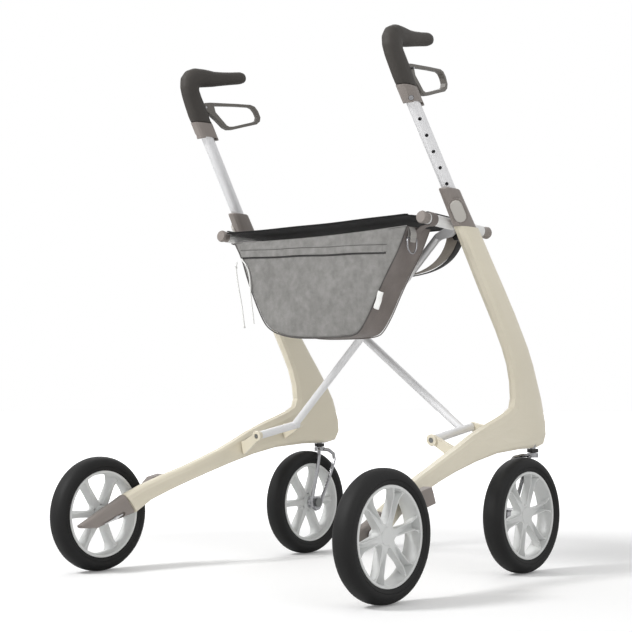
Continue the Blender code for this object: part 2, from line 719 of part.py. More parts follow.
def brake_shoe():
    """The brake block that lies just ahead of the tyre and is pulled against it."""
    axle = REAR_WHEEL
    low, high = SHOE_Y
    outline = []
    for radius, angles in ((WHEEL_RADIUS + BRAKE_GAP, (28, 24, 20, 17)), (0.1450, (16, 23, 27))):
        for degrees in angles:
            a = radians(degrees)
            outline.append((radius * cos(a), radius * sin(a)))
    outline.append((0.1220 * cos(radians(30)), 0.1220 * sin(radians(30))))
    middle = (low + high) / 2
    upright = Matrix.Translation((axle.x, middle, axle.z)) @ Matrix.Rotation(pi / 2, 4, "X")
    return plate("left_brake_shoe", [outline], high - low, upright, "taupe_plastic", bevel=0.0012)


def rear_axle():
    """A stepped spindle from the housing into the hub."""
    profile = ((0.0, 0.0065), (AXLE_RADIUS, 0.0065), (AXLE_RADIUS, HUB_INNER - 0.0006),
               (0.0080, HUB_INNER - 0.0006), (0.0080, -0.0204), (AXLE_RADIUS, -0.0204),
               (AXLE_RADIUS, -0.0325), (0.0, -0.0325))
    upright = Matrix.Translation(REAR_WHEEL) @ Matrix.Rotation(-pi / 2, 4, "X")
    return settle(turned("left_rear_axle", profile, 16, upright, "silver_metal"))


def caster_bush():
    """The bearing ring under the knee."""
    profile = ((0.0100, 0.2137), (0.0100, 0.2075), (AXLE_BORE_RADIUS, 0.2067),
               (AXLE_BORE_RADIUS, 0.2137))
    return settle(turned("left_caster_bush", profile, 12, Matrix.Translation(STEM),
                         "dark_plastic", True))


def caster_fork():
    """A bent rod that leaves the stem, wraps the axle boss and comes back up."""
    axle = Vector((FRONT_WHEEL.x, FORK_Y, FRONT_WHEEL.z))
    down = [(0.2690, 0.2505, 0.2020), (0.2560, 0.2400, 0.2022), (0.2455, 0.2295, 0.1992),
            (0.2408, FORK_Y, 0.1900), (0.2378, FORK_Y, 0.1727), (0.2320, FORK_Y, 0.1476),
            (0.2245, FORK_Y, 0.1220)]
    wrap = []
    for degrees in range(170, 351, 45):
        a = radians(degrees)
        wrap.append(axle + Vector((0.0135 * cos(a), 0, 0.0135 * sin(a))))
    up = [(0.2510, FORK_Y, 0.1110), (0.2600, FORK_Y, 0.1260), (0.2704, FORK_Y, 0.1461),
          (0.2800, FORK_Y, 0.1660), (0.2872, 0.2262, 0.1820), (0.2882, 0.2295, 0.1935),
          (0.2838, 0.2375, 0.2003), (0.2770, 0.2455, 0.2020), (0.2725, 0.2505, 0.2020)]
    body = rod("left_caster_fork", down + wrap + up, FORK_ROD_RADIUS, "silver_metal", 1)
    boss = cylinder("fork_boss", axle - Y_AXIS * 0.0030, axle + Y_AXIS * 0.0130, 0.0118)
    head = turned("fork_head", ((0.0, STEM_TOP), (AXLE_RADIUS, STEM_TOP), (AXLE_RADIUS, 0.2062),
                                (0.0100, 0.2062), (0.0100, 0.1985), (0.0, 0.1985)), 16,
                  Matrix.Translation(STEM))
    bore = cylinder("fork_bore", axle - Y_AXIS * 0.01, axle + Y_AXIS * 0.02, AXLE_BORE_RADIUS)
    return set_origin(settle(cut(join(body, boss, head), bore)), STEM)


def front_axle():
    """The axle bolt of the front wheel, its head against the boss of the fork."""
    profile = ((0.0, 0.0065), (AXLE_RADIUS, 0.0065), (AXLE_RADIUS, -0.0315),
               (0.0085, -0.0315), (0.0085, -0.0350), (0.0, -0.0350))
    upright = Matrix.Translation(FRONT_WHEEL) @ Matrix.Rotation(-pi / 2, 4, "X")
    return settle(turned("left_front_axle", profile, 16, upright, "silver_metal"))


def hinge_bar():
    """The bar that the brace turns on, held to the frame by an arm at each end."""
    low, high = SLEEVE_REAR - 0.009, SLEEVE_FRONT + 0.009
    body = cylinder("left_hinge_bar", brace_point(low, HINGE_Y, HINGE_HEIGHT),
                    brace_point(high, HINGE_Y, HINGE_HEIGHT), HINGE_BAR_RADIUS, 16,
                    "silver_metal")
    for place, foot_low, foot_high in ((SLEEVE_REAR - 0.0042, -0.0340, -0.0110),
                                       (SLEEVE_FRONT + 0.0042, -0.0270, 0.0000)):
        centre = brace_point(place, HINGE_Y, HINGE_HEIGHT)
        wall = frame_y(centre.x, 0.2) - frame_half_thickness(0.2) - ARM_CLEARANCE
        reach = wall - HINGE_Y
        outline = [(0.0078 * cos(a), 0.0078 * sin(a))
                   for a in [pi / 2 + pi * i / 5 for i in range(6)]]
        outline += [(reach - 0.0050, foot_low), (reach, foot_low), (reach, foot_high),
                    (reach - 0.0050, foot_high)]
        matrix = frame_matrix(centre, HINGE_DIR, Y_AXIS)
        join(body, plate("hinge_arm", [outline], 0.0070, matrix))
    return settle(body)


def rail_cradle():
    """An open-topped hook on the strut in which the seat rail rests."""
    centre = rail_point(CRADLE_X)
    radius = RAIL_RADIUS + CRADLE_CLEARANCE
    wall = centre.y + 0.0100
    outline = []
    for i in range(10):
        a = radians(-35 - 150 * i / 9)
        outline.append((radius * cos(a), radius * sin(a)))
    outline += [(-0.0152, -0.0006), (-0.0152, -0.0170), (-0.0105, -0.0230),
                (wall - centre.y, -0.0230), (wall - centre.y, -0.0062)]
    rail_dir = (rail_point(1) - rail_point(0)).normalized()
    matrix = frame_matrix(centre, rail_dir, Y_AXIS)
    return plate("left_rail_cradle", [outline], CRADLE_LENGTH, matrix, "dark_plastic")


def rail_ends(side):
    """Where a rail starts and ends: each sits as far forward as its own brace."""
    shift = 0 if side > 0 else BRACE_OFFSET
    return RAIL_REAR + shift, RAIL_FRONT + shift


def seat_rail(name, side):
    """The tube under one edge of the seat, and the plugs in its ends."""
    rear, front = rail_ends(side)
    cylinder(name + "_seat_rail", rail_point(rear, side), rail_point(front, side),
             RAIL_RADIUS, 16, "white_paint")
    rail_cap(name + "_rail_cap_rear", side, rear - GAP, rear - RAIL_CAP_REAR)
    rail_cap(name + "_rail_cap_front", side, front + GAP, front + RAIL_CAP_FRONT)


def rail_cap(name, side, x_in, x_out):
    """The flared plug on the end of a rail."""
    start, end = rail_point(x_in, side), rail_point(x_out, side)
    length = (end - start).length
    profile = ((0.0, length), (0.0092, length), (0.0108, length - 0.003), (0.0102, length - 0.008),
               (0.0088, 0.008), (0.0098, 0.0), (0.0, 0.0))
    return settle(turned(name, profile, 16, frame_matrix(start, end - start, Y_AXIS),
                         "taupe_plastic"))


def brace_line(y):
    """The height of a brace's axis where it is y beyond the middle plane."""
    return HINGE_HEIGHT + (HINGE_Y + y) * tan(BRACE_SLOPE)


def rail_beside(place, side):
    """The point of the rail's axis in the plane of a brace."""
    slope = HINGE_DIR.x + RAIL_SLOPE * HINGE_DIR.z
    return rail_point((place - RAIL_HEIGHT_AT_ORIGIN * HINGE_DIR.z) / slope, side)


def brace(name, side, place):
    """A brace tube with its hinge sleeve below and the saddle of its rail above."""
    foot = brace_point(place, side * HINGE_Y, HINGE_HEIGHT)
    top = brace_point(place, -side * BRACE_END_Y, brace_line(BRACE_END_Y))
    body = cylinder(name, foot + (top - foot).normalized() * 0.003, top, BRACE_RADIUS, 16,
                    "silver_metal")
    ends = [brace_point(at, side * HINGE_Y, HINGE_HEIGHT)
            for at in (SLEEVE_REAR, SLEEVE_FRONT, SLEEVE_REAR - 0.01, SLEEVE_FRONT + 0.01)]
    sleeve = cylinder("sleeve", ends[0], ends[1], SLEEVE_RADIUS, 16)
    sleeve_bore = cylinder("sleeve_bore", ends[2], ends[3], SLEEVE_BORE_RADIUS, 16)
    cross = crossing()
    cross_bore = cylinder("cross_bore", cross - HINGE_DIR * 0.03, cross + HINGE_DIR * 0.03,
                          0.0038, 12)
    axis = rail_point(1, -side) - rail_point(0, -side)
    beside = rail_beside(place, -side)
    rail_bed = cylinder("rail_bed", beside - axis * 0.02, beside + axis * 0.02,
                        RAIL_RADIUS + GAP, 24)
    return settle(cut(join(body, sleeve, saddle(place, -side)), sleeve_bore, cross_bore,
                      rail_bed))


def saddle(place, side):
    """The plate that ends a brace and is welded to the inner side of its rail."""
    centre = rail_beside(place, side)
    drop = brace_line(BRACE_END_Y) - centre.dot(HINGE_UP)
    inward = BRACE_END_Y - RAIL_Y
    outline = ((inward - 0.0080, drop - 0.0020), (inward - 0.0020, drop + 0.0058),
               (-0.0220, -0.0028), (-0.0080, -0.0018), (0.0, -0.0060), (-0.0020, -0.0125),
               (-0.0110, -0.0185), (inward + 0.0060, drop - 0.0050), (inward, drop - 0.0075))
    matrix = frame_matrix(centre, HINGE_DIR, Y_AXIS)
    return plate("saddle", [[(side * y, z) for y, z in outline]], 0.0080, matrix)


def crossing():
    """Where the two braces cross, on the middle plane."""
    return brace_point(BRACE_A_PLACE, 0, brace_line(0))


def cross_pin():
    """The bolt of the crossing, its head in front and its nut behind."""
    cross = crossing()
    front = cross + HINGE_DIR * (BRACE_RADIUS + 0.0040)
    rear = cross - HINGE_DIR * (BRACE_OFFSET + BRACE_RADIUS + 0.0040)
    body = cylinder("cross_pin", rear, front, 0.0035, 12, "dark_plastic")
    head = cylinder("pin_head", front, front - HINGE_DIR * 0.0036, 0.0065, 16)
    nut = cylinder("pin_nut", rear, rear + HINGE_DIR * 0.0036, 0.0060, 6)
    return settle(join(body, head, nut))


def along_rail(x, y_axis=Y_AXIS):
    """A frame on the middle plane whose Z runs along the rails at x."""
    centre = rail_point(x)
    centre.y = 0
    direction = (rail_point(1) - rail_point(0)).normalized()
    return frame_matrix(centre, direction, y_axis)


def seat():
    """A cloth seat that lies over both rails and sags a little between them."""
    top, under = RAIL_RADIUS + 0.0004, RAIL_RADIUS + 0.0004 + CLOTH
    upper = []
    lower = []
    for i in range(6):
        a = radians(90 + 72 * i / 5)
        upper.append((RAIL_Y + under * cos(a), under * sin(a)))
        lower.append((RAIL_Y + top * cos(a), top * sin(a)))
    edge = upper[-1]
    for i in range(1, 9):
        t = i / 8
        y = edge[0] * (1 - t)
        sag = -SEAT_SAG * (1 - (1 - t) ** 2)
        upper.append((y, edge[1] + sag))
        lower.append((y, edge[1] - CLOTH + sag))
    half = [(-y, z) for y, z in upper[:-1]]
    outline = upper + half[::-1] + [(-y, z) for y, z in lower[:-1]] + lower[::-1]
    matrix = along_rail((SEAT_REAR + SEAT_FRONT) / 2)
    body = plate("seat", [outline], SEAT_FRONT - SEAT_REAR, matrix, "seat_cloth")
    for side in (1, -1):
        inner, outer = sorted((side * (RAIL_Y - SEAT_CORNER), side * (RAIL_Y + SEAT_CORNER)))
        rear = rail_ends(side)[0] + 0.0008
        cut(body, box("seat_corner", (SEAT_REAR - 0.01, inner, 0.55), (rear, outer, 0.65)))
    return settle(body)


BAG_OUTLINE = ((0.2000, 0.5860), (0.1830, 0.5450), (0.1630, 0.5060), (0.1430, 0.4700),
               (0.1230, 0.4380), (0.1050, 0.4220), (0.0800, 0.4130), (0.0400, 0.4080),
               (0.0, 0.4065))


def inset(outline, amount):
    """An open line moved sideways by an amount, to the left of its direction."""
    moved = []
    last = len(outline) - 1
    for i, point in enumerate(outline):
        run = Vector(outline[min(i + 1, last)]) - Vector(outline[max(i - 1, 0)])
        run.normalize()
        moved.append((point[0] + run.y * amount, point[1] - run.x * amount))
    return moved


def bag():
    """A deep open bag below the seat that hangs on both rails by cloth loops."""
    left = list(BAG_OUTLINE)
    inner = inset(left + [(-left[-2][0], left[-2][1])], CLOTH)[:-1]
    outer = left + [(-y, z) for y, z in left[:-1]][::-1]
    hollow = [(inner[0][0], left[0][1] + 0.02)] + inner
    hollow = hollow + [(-y, z) for y, z in hollow[:-1]][::-1]
    depth = BAG_FRONT - BAG_REAR
    upright = frame_matrix(Vector(((BAG_FRONT + BAG_REAR) / 2, 0, 0)), X_AXIS, Y_AXIS)
    body = plate("bag", [outer], depth, upright, "bag_cloth")
    cut(body, plate("bag_hollow", [hollow], depth - 2 * CLOTH, upright))
    for side in (1, -1):
        for helper in bag_hanger(side):
            join(body, helper)
    return settle(body)


def webbing_loop(name, x_low, x_high, side):
    """A strip round a rail, open above where the seat comes off the rail."""
    inner, outer = RAIL_RADIUS + GAP, RAIL_RADIUS + GAP + CLOTH
    angles = [radians(LOOP_START - LOOP_TURN * i / 12) for i in range(13)]
    outline = [(outer * cos(a), outer * sin(a)) for a in angles]
    outline += [(inner * cos(a), inner * sin(a)) for a in reversed(angles)]
    start, end = rail_point(x_low, side), rail_point(x_high, side)
    matrix = frame_matrix((start + end) / 2, end - start, Y_AXIS)
    outline = [(side * y, z) for y, z in outline]
    return plate(name, [outline], (end - start).length, matrix)


def bag_hanger(side):
    """The loop round a rail and the strip that joins it to the mouth of the bag."""
    loop = webbing_loop("bag_loop", LOOP_REAR, LOOP_FRONT, side)
    edge = ((side * 0.1950, 0.5770), (side * 0.1960, 0.5740), (side * 0.2190, 0.5870),
            (side * 0.2175, 0.5905))
    matrix = frame_matrix(Vector(((LOOP_REAR + LOOP_FRONT) / 2, 0, 0)), X_AXIS, Y_AXIS)
    return loop, plate("bag_strip", [edge], LOOP_FRONT - LOOP_REAR, matrix)


def sling():
    """The cloth trough under the front half of the seat, ahead of the braces."""
    under = ((0.2070, 0.5590), (0.2040, 0.5450), (0.1960, 0.5310), (0.1840, 0.5175),
             (0.1680, 0.5060), (0.1460, 0.4965), (0.1180, 0.4905), (0.0700, 0.4865),
             (0.0, 0.4850))
    inner = []
    for i, (y, z) in enumerate(under[:-1]):
        run = (Vector(under[i + 1]) - Vector(under[max(i - 1, 0)])).normalized()
        inner.append((y + run.y * CLOTH, z - run.x * CLOTH))
    inner.append((0.0, under[-1][1] + CLOTH))
    outline = list(under) + [(-y, z) for y, z in under[:-1]][::-1]
    outline += [(-y, z) for y, z in inner[:-1]] + inner[::-1]
    matrix = frame_matrix(HINGE_DIR * (SLING_REAR + SLING_FRONT) / 2, HINGE_DIR, Y_AXIS)
    return plate("sling", [outline], SLING_FRONT - SLING_REAR, matrix, "sling_cloth")


CORD_ROUTE = ((-0.0268, 0.1870, 0.5500), (-0.0292, 0.1868, 0.5400), (-0.0290, 0.1850, 0.5250),
              (-0.0287, 0.1800, 0.5000), (-0.0284, 0.1740, 0.4750), (-0.0284, 0.1690, 0.4500),
              (-0.0284, 0.1660, 0.4300))


def zip_cord():
    """The pull cord of the bag's zip."""
    return rod("zip_cord", smooth_path(CORD_ROUTE, 2), CORD_RADIUS, "white_cord", 1)


RING_X = (-0.0175, -0.0020)
RING_EYE = Vector((sum(RING_X) / 2, -0.2042, 0.5660))
TAB_TOP = 0.5850


def strap_tab():
    """A webbing tab on the upper right corner of the bag, with an eye below."""
    strip = box("strap_tab", (RING_X[0], RING_EYE.y - 0.0011, RING_EYE.z + 0.0028),
                (RING_X[1], RING_EYE.y + 0.0011, TAB_TOP), "sling_cloth")
    low, high = (Vector((x, RING_EYE.y, RING_EYE.z)) for x in RING_X)
    eye = cylinder("eye", low, high, 0.0038, 12)
    hollow = cylinder("eye_hollow", low - X_AXIS * 0.01, high + X_AXIS * 0.01, 0.0022, 12)
    foot = box("tab_foot", (RING_X[0], RING_EYE.y - 0.0011, TAB_TOP - 0.0080),
               (RING_X[1], -BAG_OUTLINE[0][0] - GAP, TAB_TOP))
    return settle(cut(join(strip, eye, foot), hollow))


def d_ring():
    """A wire ring with a straight side that turns in the eye of the tab."""
    reach = (RING_X[1] - RING_X[0]) / 2 + 0.0045
    points = [RING_EYE - X_AXIS * reach, RING_EYE, RING_EYE + X_AXIS * reach]
    for degrees in range(0, 181, 20):
        a = radians(degrees)
        points.append(RING_EYE + Vector((reach * cos(a), 0, -0.0100 - 0.0150 * sin(a))))
    body = rod("d_ring", points, 0.0014, "silver_metal", 1, closed=True)
    return set_origin(body, RING_EYE)


def left_side():
    """The pieces that each side has, in the left hand."""
    pieces = [frame(), socket(), height_button(), handle_tube(), collar(), collar_screw(),
              grip(), brake_lever(), lever_pin(), axle_housing(), brake_rod(), brake_shoe(),
              rear_axle(), caster_bush(), caster_fork(), front_axle(), hinge_bar(),
              rail_cradle()]
    return pieces


def build():
    wheels()
    for piece in left_side():
        mirrored(piece, piece.name.replace("left", "right", 1))
    seat_rail("left", 1)
    seat_rail("right", -1)
    brace("brace_a", 1, BRACE_A_PLACE)
    brace("brace_b", -1, BRACE_A_PLACE - BRACE_OFFSET)
    cross_pin()
    seat()
    bag()
    sling()
    zip_cord()
    strap_tab()
    d_ring()
    bpy.context.view_layer.update()


clear_scene()
PARTS = collection("Rollator")
CUTTERS = collection("Rollator cutters", hidden=True)
build()
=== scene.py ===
import bmesh
import bpy
import json
from math import cos, pi, radians, sin
from mathutils import Matrix, Vector


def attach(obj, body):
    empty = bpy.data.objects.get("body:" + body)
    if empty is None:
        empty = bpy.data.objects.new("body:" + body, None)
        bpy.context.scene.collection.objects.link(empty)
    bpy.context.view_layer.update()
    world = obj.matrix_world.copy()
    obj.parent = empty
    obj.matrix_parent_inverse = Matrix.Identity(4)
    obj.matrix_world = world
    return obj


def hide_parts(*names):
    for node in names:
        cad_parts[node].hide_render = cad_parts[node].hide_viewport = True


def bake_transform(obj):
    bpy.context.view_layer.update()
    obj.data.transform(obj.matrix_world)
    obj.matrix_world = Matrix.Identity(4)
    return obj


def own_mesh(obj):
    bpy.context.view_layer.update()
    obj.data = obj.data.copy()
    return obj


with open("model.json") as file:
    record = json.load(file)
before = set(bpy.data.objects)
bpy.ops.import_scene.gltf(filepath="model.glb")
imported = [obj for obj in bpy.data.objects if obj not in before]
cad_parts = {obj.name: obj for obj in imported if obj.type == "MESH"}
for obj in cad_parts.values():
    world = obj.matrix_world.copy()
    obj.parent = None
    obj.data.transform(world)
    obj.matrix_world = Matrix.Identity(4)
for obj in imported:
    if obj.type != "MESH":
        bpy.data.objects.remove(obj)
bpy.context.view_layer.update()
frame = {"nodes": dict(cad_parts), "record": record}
cad = frame["nodes"]


def srgb(value):
    """One channel as the eye sees it, made linear for the shader."""
    return value / 12.92 if value <= 0.04045 else ((value + 0.055) / 1.055) ** 2.4


def new_finish(name, colour, roughness, metallic=0.0):
    """A Principled material with its shader, ready for its pattern."""
    made = bpy.data.materials.new(name)
    made.use_nodes = True
    nodes = made.node_tree.nodes
    shader = nodes["Principled BSDF"]
    shader.inputs["Base Color"].default_value = (*[srgb(c) for c in colour], 1)
    shader.inputs["Roughness"].default_value = roughness
    shader.inputs["Metallic"].default_value = metallic
    return made, nodes, made.node_tree.links, shader


def object_place(nodes):
    """The place on the piece, in its own object coordinates."""
    return nodes.new("ShaderNodeTexCoord").outputs["Object"]


def noise(nodes, links, vector, scale, detail=3.0, roughness=0.5):
    made = nodes.new("ShaderNodeTexNoise")
    made.inputs["Scale"].default_value = scale
    made.inputs["Detail"].default_value = detail
    made.inputs["Roughness"].default_value = roughness
    links.new(vector, made.inputs["Vector"])
    return made.outputs["Fac"]


def ramp(nodes, links, fac, stops):
    """A colour ramp with (position, colour) stops in sRGB."""
    made = nodes.new("ShaderNodeValToRGB")
    elements = made.color_ramp.elements
    while len(elements) < len(stops):
        elements.new(0.5)
    for element, (position, colour) in zip(elements, stops):
        element.position = position
        element.color = (*[srgb(c) for c in colour], 1)
    links.new(fac, made.inputs["Fac"])
    return made.outputs["Color"]


def bump(nodes, links, height, shader, strength, distance, below=None):
    made = nodes.new("ShaderNodeBump")
    made.inputs["Strength"].default_value = strength
    made.inputs["Distance"].default_value = distance
    links.new(height, made.inputs["Height"])
    if below:
        links.new(below, made.inputs["Normal"])
    links.new(made.outputs["Normal"], shader.inputs["Normal"])
    return made.outputs["Normal"]


def around(colour, change):
    """The colour a little darker and a little lighter."""
    return tuple(max(0, c - change) for c in colour), tuple(min(1, c + change) for c in colour)


def spread_value(nodes, links, fac, low, high, socket):
    """Map a texture onto a range, such as roughness from low to high."""
    made = nodes.new("ShaderNodeMapRange")
    made.inputs["To Min"].default_value = low
    made.inputs["To Max"].default_value = high
    links.new(fac, made.inputs["Value"])
    links.new(made.outputs["Result"], socket)


def moulded(name, colour, roughness, grain=900, depth=0.00012, drift=0.035):
    """Moulded plastic or rubber: fine grain and a faint drift of colour."""
    made, nodes, links, shader = new_finish(name, colour, roughness)
    vector = object_place(nodes)
    drifting = noise(nodes, links, vector, 9)
    low, high = around(colour, drift)
    links.new(ramp(nodes, links, drifting, ((0.3, low), (0.7, high))), shader.inputs["Base Color"])
    fine = noise(nodes, links, vector, grain, 2)
    spread_value(nodes, links, fine, roughness - 0.07, roughness + 0.07, shader.inputs["Roughness"])
    bump(nodes, links, fine, shader, 0.35, depth)
    return made


FAINT_DRIFT = 0.012


def satin_paint(name, colour, roughness, coat):
    """Lacquered paint: a soft clear coat over a faint orange peel."""
    made, nodes, links, shader = new_finish(name, colour, roughness)
    vector = object_place(nodes)
    drifting = noise(nodes, links, vector, 4)
    low, high = around(colour, FAINT_DRIFT)
    links.new(ramp(nodes, links, drifting, ((0.3, low), (0.7, high))), shader.inputs["Base Color"])
    shader.inputs["Coat Weight"].default_value = coat
    shader.inputs["Coat Roughness"].default_value = 0.25
    peel = noise(nodes, links, vector, 260, 2)
    bump(nodes, links, peel, shader, 0.10, 0.0002)
    return made


def drawn_metal(name, colour, roughness, metallic, cloudiness):
    """Anodised or plated metal: soft changes of gloss and of tone."""
    made, nodes, links, shader = new_finish(name, colour, roughness, metallic)
    vector = object_place(nodes)
    cloud = noise(nodes, links, vector, cloudiness, 2)
    low, high = around(colour, FAINT_DRIFT)
    links.new(ramp(nodes, links, cloud, ((0.35, low), (0.65, high))), shader.inputs["Base Color"])
    spread_value(nodes, links, cloud, roughness - 0.05, roughness + 0.06,
                 shader.inputs["Roughness"])
    return made


def dull(made, amount):
    """Turn down the highlight of a finish."""
    made.node_tree.nodes["Principled BSDF"].inputs["Specular IOR Level"].default_value = amount


cream = satin_paint("cream_lacquer", (0.87, 0.84, 0.762), 0.42, 0.25)
taupe = moulded("taupe_moulding", (0.53, 0.50, 0.48), 0.5, drift=0.02)
rubber = moulded("grip_rubber", (0.215, 0.20, 0.185), 0.66, 700, 0.00018, 0.02)
light_grey = moulded("button_moulding", (0.74, 0.725, 0.70), 0.42)
rim_grey = moulded("rim_moulding", (0.83, 0.835, 0.83), 0.42, drift=0.012)
black_rubber = moulded("tyre_rubber", (0.055, 0.055, 0.055), 0.62, 500, 0.0003, 0.012)
dull(black_rubber, 0.3)
anodised = drawn_metal("anodised_tube", (0.89, 0.89, 0.895), 0.46, 0.35, 14)
plated = drawn_metal("plated_wire", (0.62, 0.62, 0.63), 0.26, 0.95, 40)
bolt_steel = drawn_metal("bolt_steel", (0.48, 0.485, 0.48), 0.32, 0.9, 60)
lever_grey = moulded("lever_moulding", (0.40, 0.385, 0.365), 0.48, drift=0.012)
rail_paint = satin_paint("rail_lacquer", (0.90, 0.90, 0.895), 0.35, 0.3)
black_moulding = moulded("black_moulding", (0.085, 0.08, 0.08), 0.5, drift=0.01)

WAVES_PER_METRE = 0.314


def woven(name, colour, roughness, pitch=0.0011, mottle=0.03, depth=0.00016, blotch=34):
    """A plain weave in metres on the piece's UV map, under soft mottling and fuzz."""
    made, nodes, links, shader = new_finish(name, colour, roughness)
    vector = object_place(nodes)
    large = noise(nodes, links, vector, blotch, 4, 0.62)
    low, high = around(colour, mottle)
    shade = ramp(nodes, links, large, ((0.32, low), (0.5, colour), (0.68, high)))
    laid = nodes.new("ShaderNodeUVMap")
    waves = []
    for direction in ("X", "Y"):
        wave = nodes.new("ShaderNodeTexWave")
        wave.wave_type = "BANDS"
        wave.bands_direction = direction
        wave.inputs["Scale"].default_value = WAVES_PER_METRE / pitch
        wave.inputs["Distortion"].default_value = 0.6
        wave.inputs["Detail"].default_value = 1
        links.new(laid.outputs["UV"], wave.inputs["Vector"])
        waves.append(wave.outputs["Fac"])
    crossed = nodes.new("ShaderNodeMath")
    crossed.operation = "MULTIPLY"
    links.new(waves[0], crossed.inputs[0])
    links.new(waves[1], crossed.inputs[1])
    darker = nodes.new("ShaderNodeMix")
    darker.data_type = "RGBA"
    darker.blend_type = "MULTIPLY"
    darker.inputs[0].default_value = 0.30
    grain = ramp(nodes, links, crossed.outputs[0], ((0.0, (0.72, 0.72, 0.72)), (0.6, (1, 1, 1))))
    links.new(shade, darker.inputs[6])
    links.new(grain, darker.inputs[7])
    links.new(darker.outputs[2], shader.inputs["Base Color"])
    fuzz = noise(nodes, links, vector, 1500, 2)
    spread_value(nodes, links, fuzz, roughness - 0.05, min(1, roughness + 0.08),
                 shader.inputs["Roughness"])
    under = bump(nodes, links, large, shader, 0.25, 0.0012)
    bump(nodes, links, crossed.outputs[0], shader, 0.5, depth, under)
    shader.inputs["Sheen Weight"].default_value = 0.12
    shader.inputs["Sheen Roughness"].default_value = 0.5
    return made


bag_front_cloth = woven("bag_front_cloth", (0.525, 0.52, 0.51), 0.86, mottle=0.045, blotch=60)
# The bag's own grey cloth again, made darker and browner as painted shade for the gusset, the far
# panel, the front piping and the hangers.
bag_cloth_painted_shade = woven("bag_cloth_painted_shade", (0.475, 0.445, 0.43), 0.86, mottle=0.025)
piping_cloth = woven("piping_cloth", (0.33, 0.32, 0.31), 0.85)
seat_weave = woven("seat_weave", (0.025, 0.022, 0.02), 0.85, 0.0014, 0.006)
dull(seat_weave, 0.2)
black_cloth = woven("black_cloth", (0.06, 0.055, 0.05), 0.85, 0.0014, 0.01)
sling_weave = woven("sling_weave", (0.52, 0.49, 0.455), 0.85, mottle=0.02)
webbing = woven("light_webbing", (0.66, 0.65, 0.635), 0.8, 0.0019, 0.02, 0.0003)
tag_cloth = woven("tag_cloth", (0.93, 0.93, 0.92), 0.8, 0.0007, 0.01, 0.0001)
cord_braid = moulded("cord_braid", (0.90, 0.90, 0.89), 0.8, 1400, 0.0003, 0.02)
dark_thread = moulded("dark_thread", (0.33, 0.33, 0.32), 0.85, 1500, 0.0002, 0.01)
grey_thread = moulded("grey_thread", (0.52, 0.515, 0.51), 0.85, 1500, 0.0002, 0.01)
black_thread = moulded("black_thread", (0.17, 0.165, 0.16), 0.8, 1500, 0.0002, 0.01)

FINISH_OF_SLOT = {
    "cream_paint": cream, "taupe_plastic": taupe, "grip_rubber": rubber,
    "button_grey": light_grey, "rim_plastic": rim_grey, "tyre_rubber": black_rubber,
    "silver_metal": anodised, "white_paint": rail_paint, "dark_plastic": black_moulding,
    "seat_cloth": seat_weave, "bag_cloth": bag_front_cloth, "sling_cloth": sling_weave,
    "white_cord": cord_braid}

FINISH_OF_NODE = {
    "left_brake_lever": lever_grey, "right_brake_lever": lever_grey,
    "left_hinge_bar": cream, "right_hinge_bar": cream,
    "left_front_axle": bolt_steel, "right_front_axle": bolt_steel,
    "left_caster_fork": plated, "right_caster_fork": plated,
    "left_collar_screw": plated, "right_collar_screw": plated,
    "left_lever_pin": plated, "right_lever_pin": plated}

for part in frame["record"]["subparts"]:
    node = cad[part["node"]]
    finish = FINISH_OF_NODE.get(part["node"], FINISH_OF_SLOT[part["material_slot"]])
    if not node.material_slots:
        node.data.materials.append(finish)
    for held in node.material_slots:
        held.material = finish


def studio_floor():
    """A plain pale floor that fades into white behind the walker for the camera."""
    bpy.ops.object.select_all(action="DESELECT")
    bpy.ops.mesh.primitive_plane_add(size=60, location=(0, 0, -0.0005))
    floor = bpy.context.object
    floor.name = "studio_floor"
    made, nodes, links, shader = new_finish("studio_floor", (0.96, 0.96, 0.96), 0.8)
    shader.inputs["Specular IOR Level"].default_value = 0.05
    glow = nodes.new("ShaderNodeEmission")
    glow.inputs["Color"].default_value = (1, 1, 1, 1)
    distance = nodes.new("ShaderNodeVectorMath")
    distance.operation = "LENGTH"
    links.new(object_place(nodes), distance.inputs[0])
    fade = nodes.new("ShaderNodeMapRange")
    for setting, value in (("From Min", 0.8), ("From Max", 2.6), ("To Min", 0.13), ("To Max", 1.0)):
        fade.inputs[setting].default_value = value
    links.new(distance.outputs["Value"], fade.inputs["Value"])
    links.new(fade.outputs["Result"], glow.inputs["Strength"])
    seen = nodes.new("ShaderNodeLightPath")
    shown = nodes.new("ShaderNodeAddShader")
    either = nodes.new("ShaderNodeMixShader")
    links.new(shader.outputs[0], shown.inputs[0])
    links.new(glow.outputs[0], shown.inputs[1])
    links.new(seen.outputs["Is Camera Ray"], either.inputs["Fac"])
    links.new(shader.outputs[0], either.inputs[1])
    links.new(shown.outputs[0], either.inputs[2])
    links.new(either.outputs[0], nodes["Material Output"].inputs["Surface"])
    floor.data.materials.append(made)


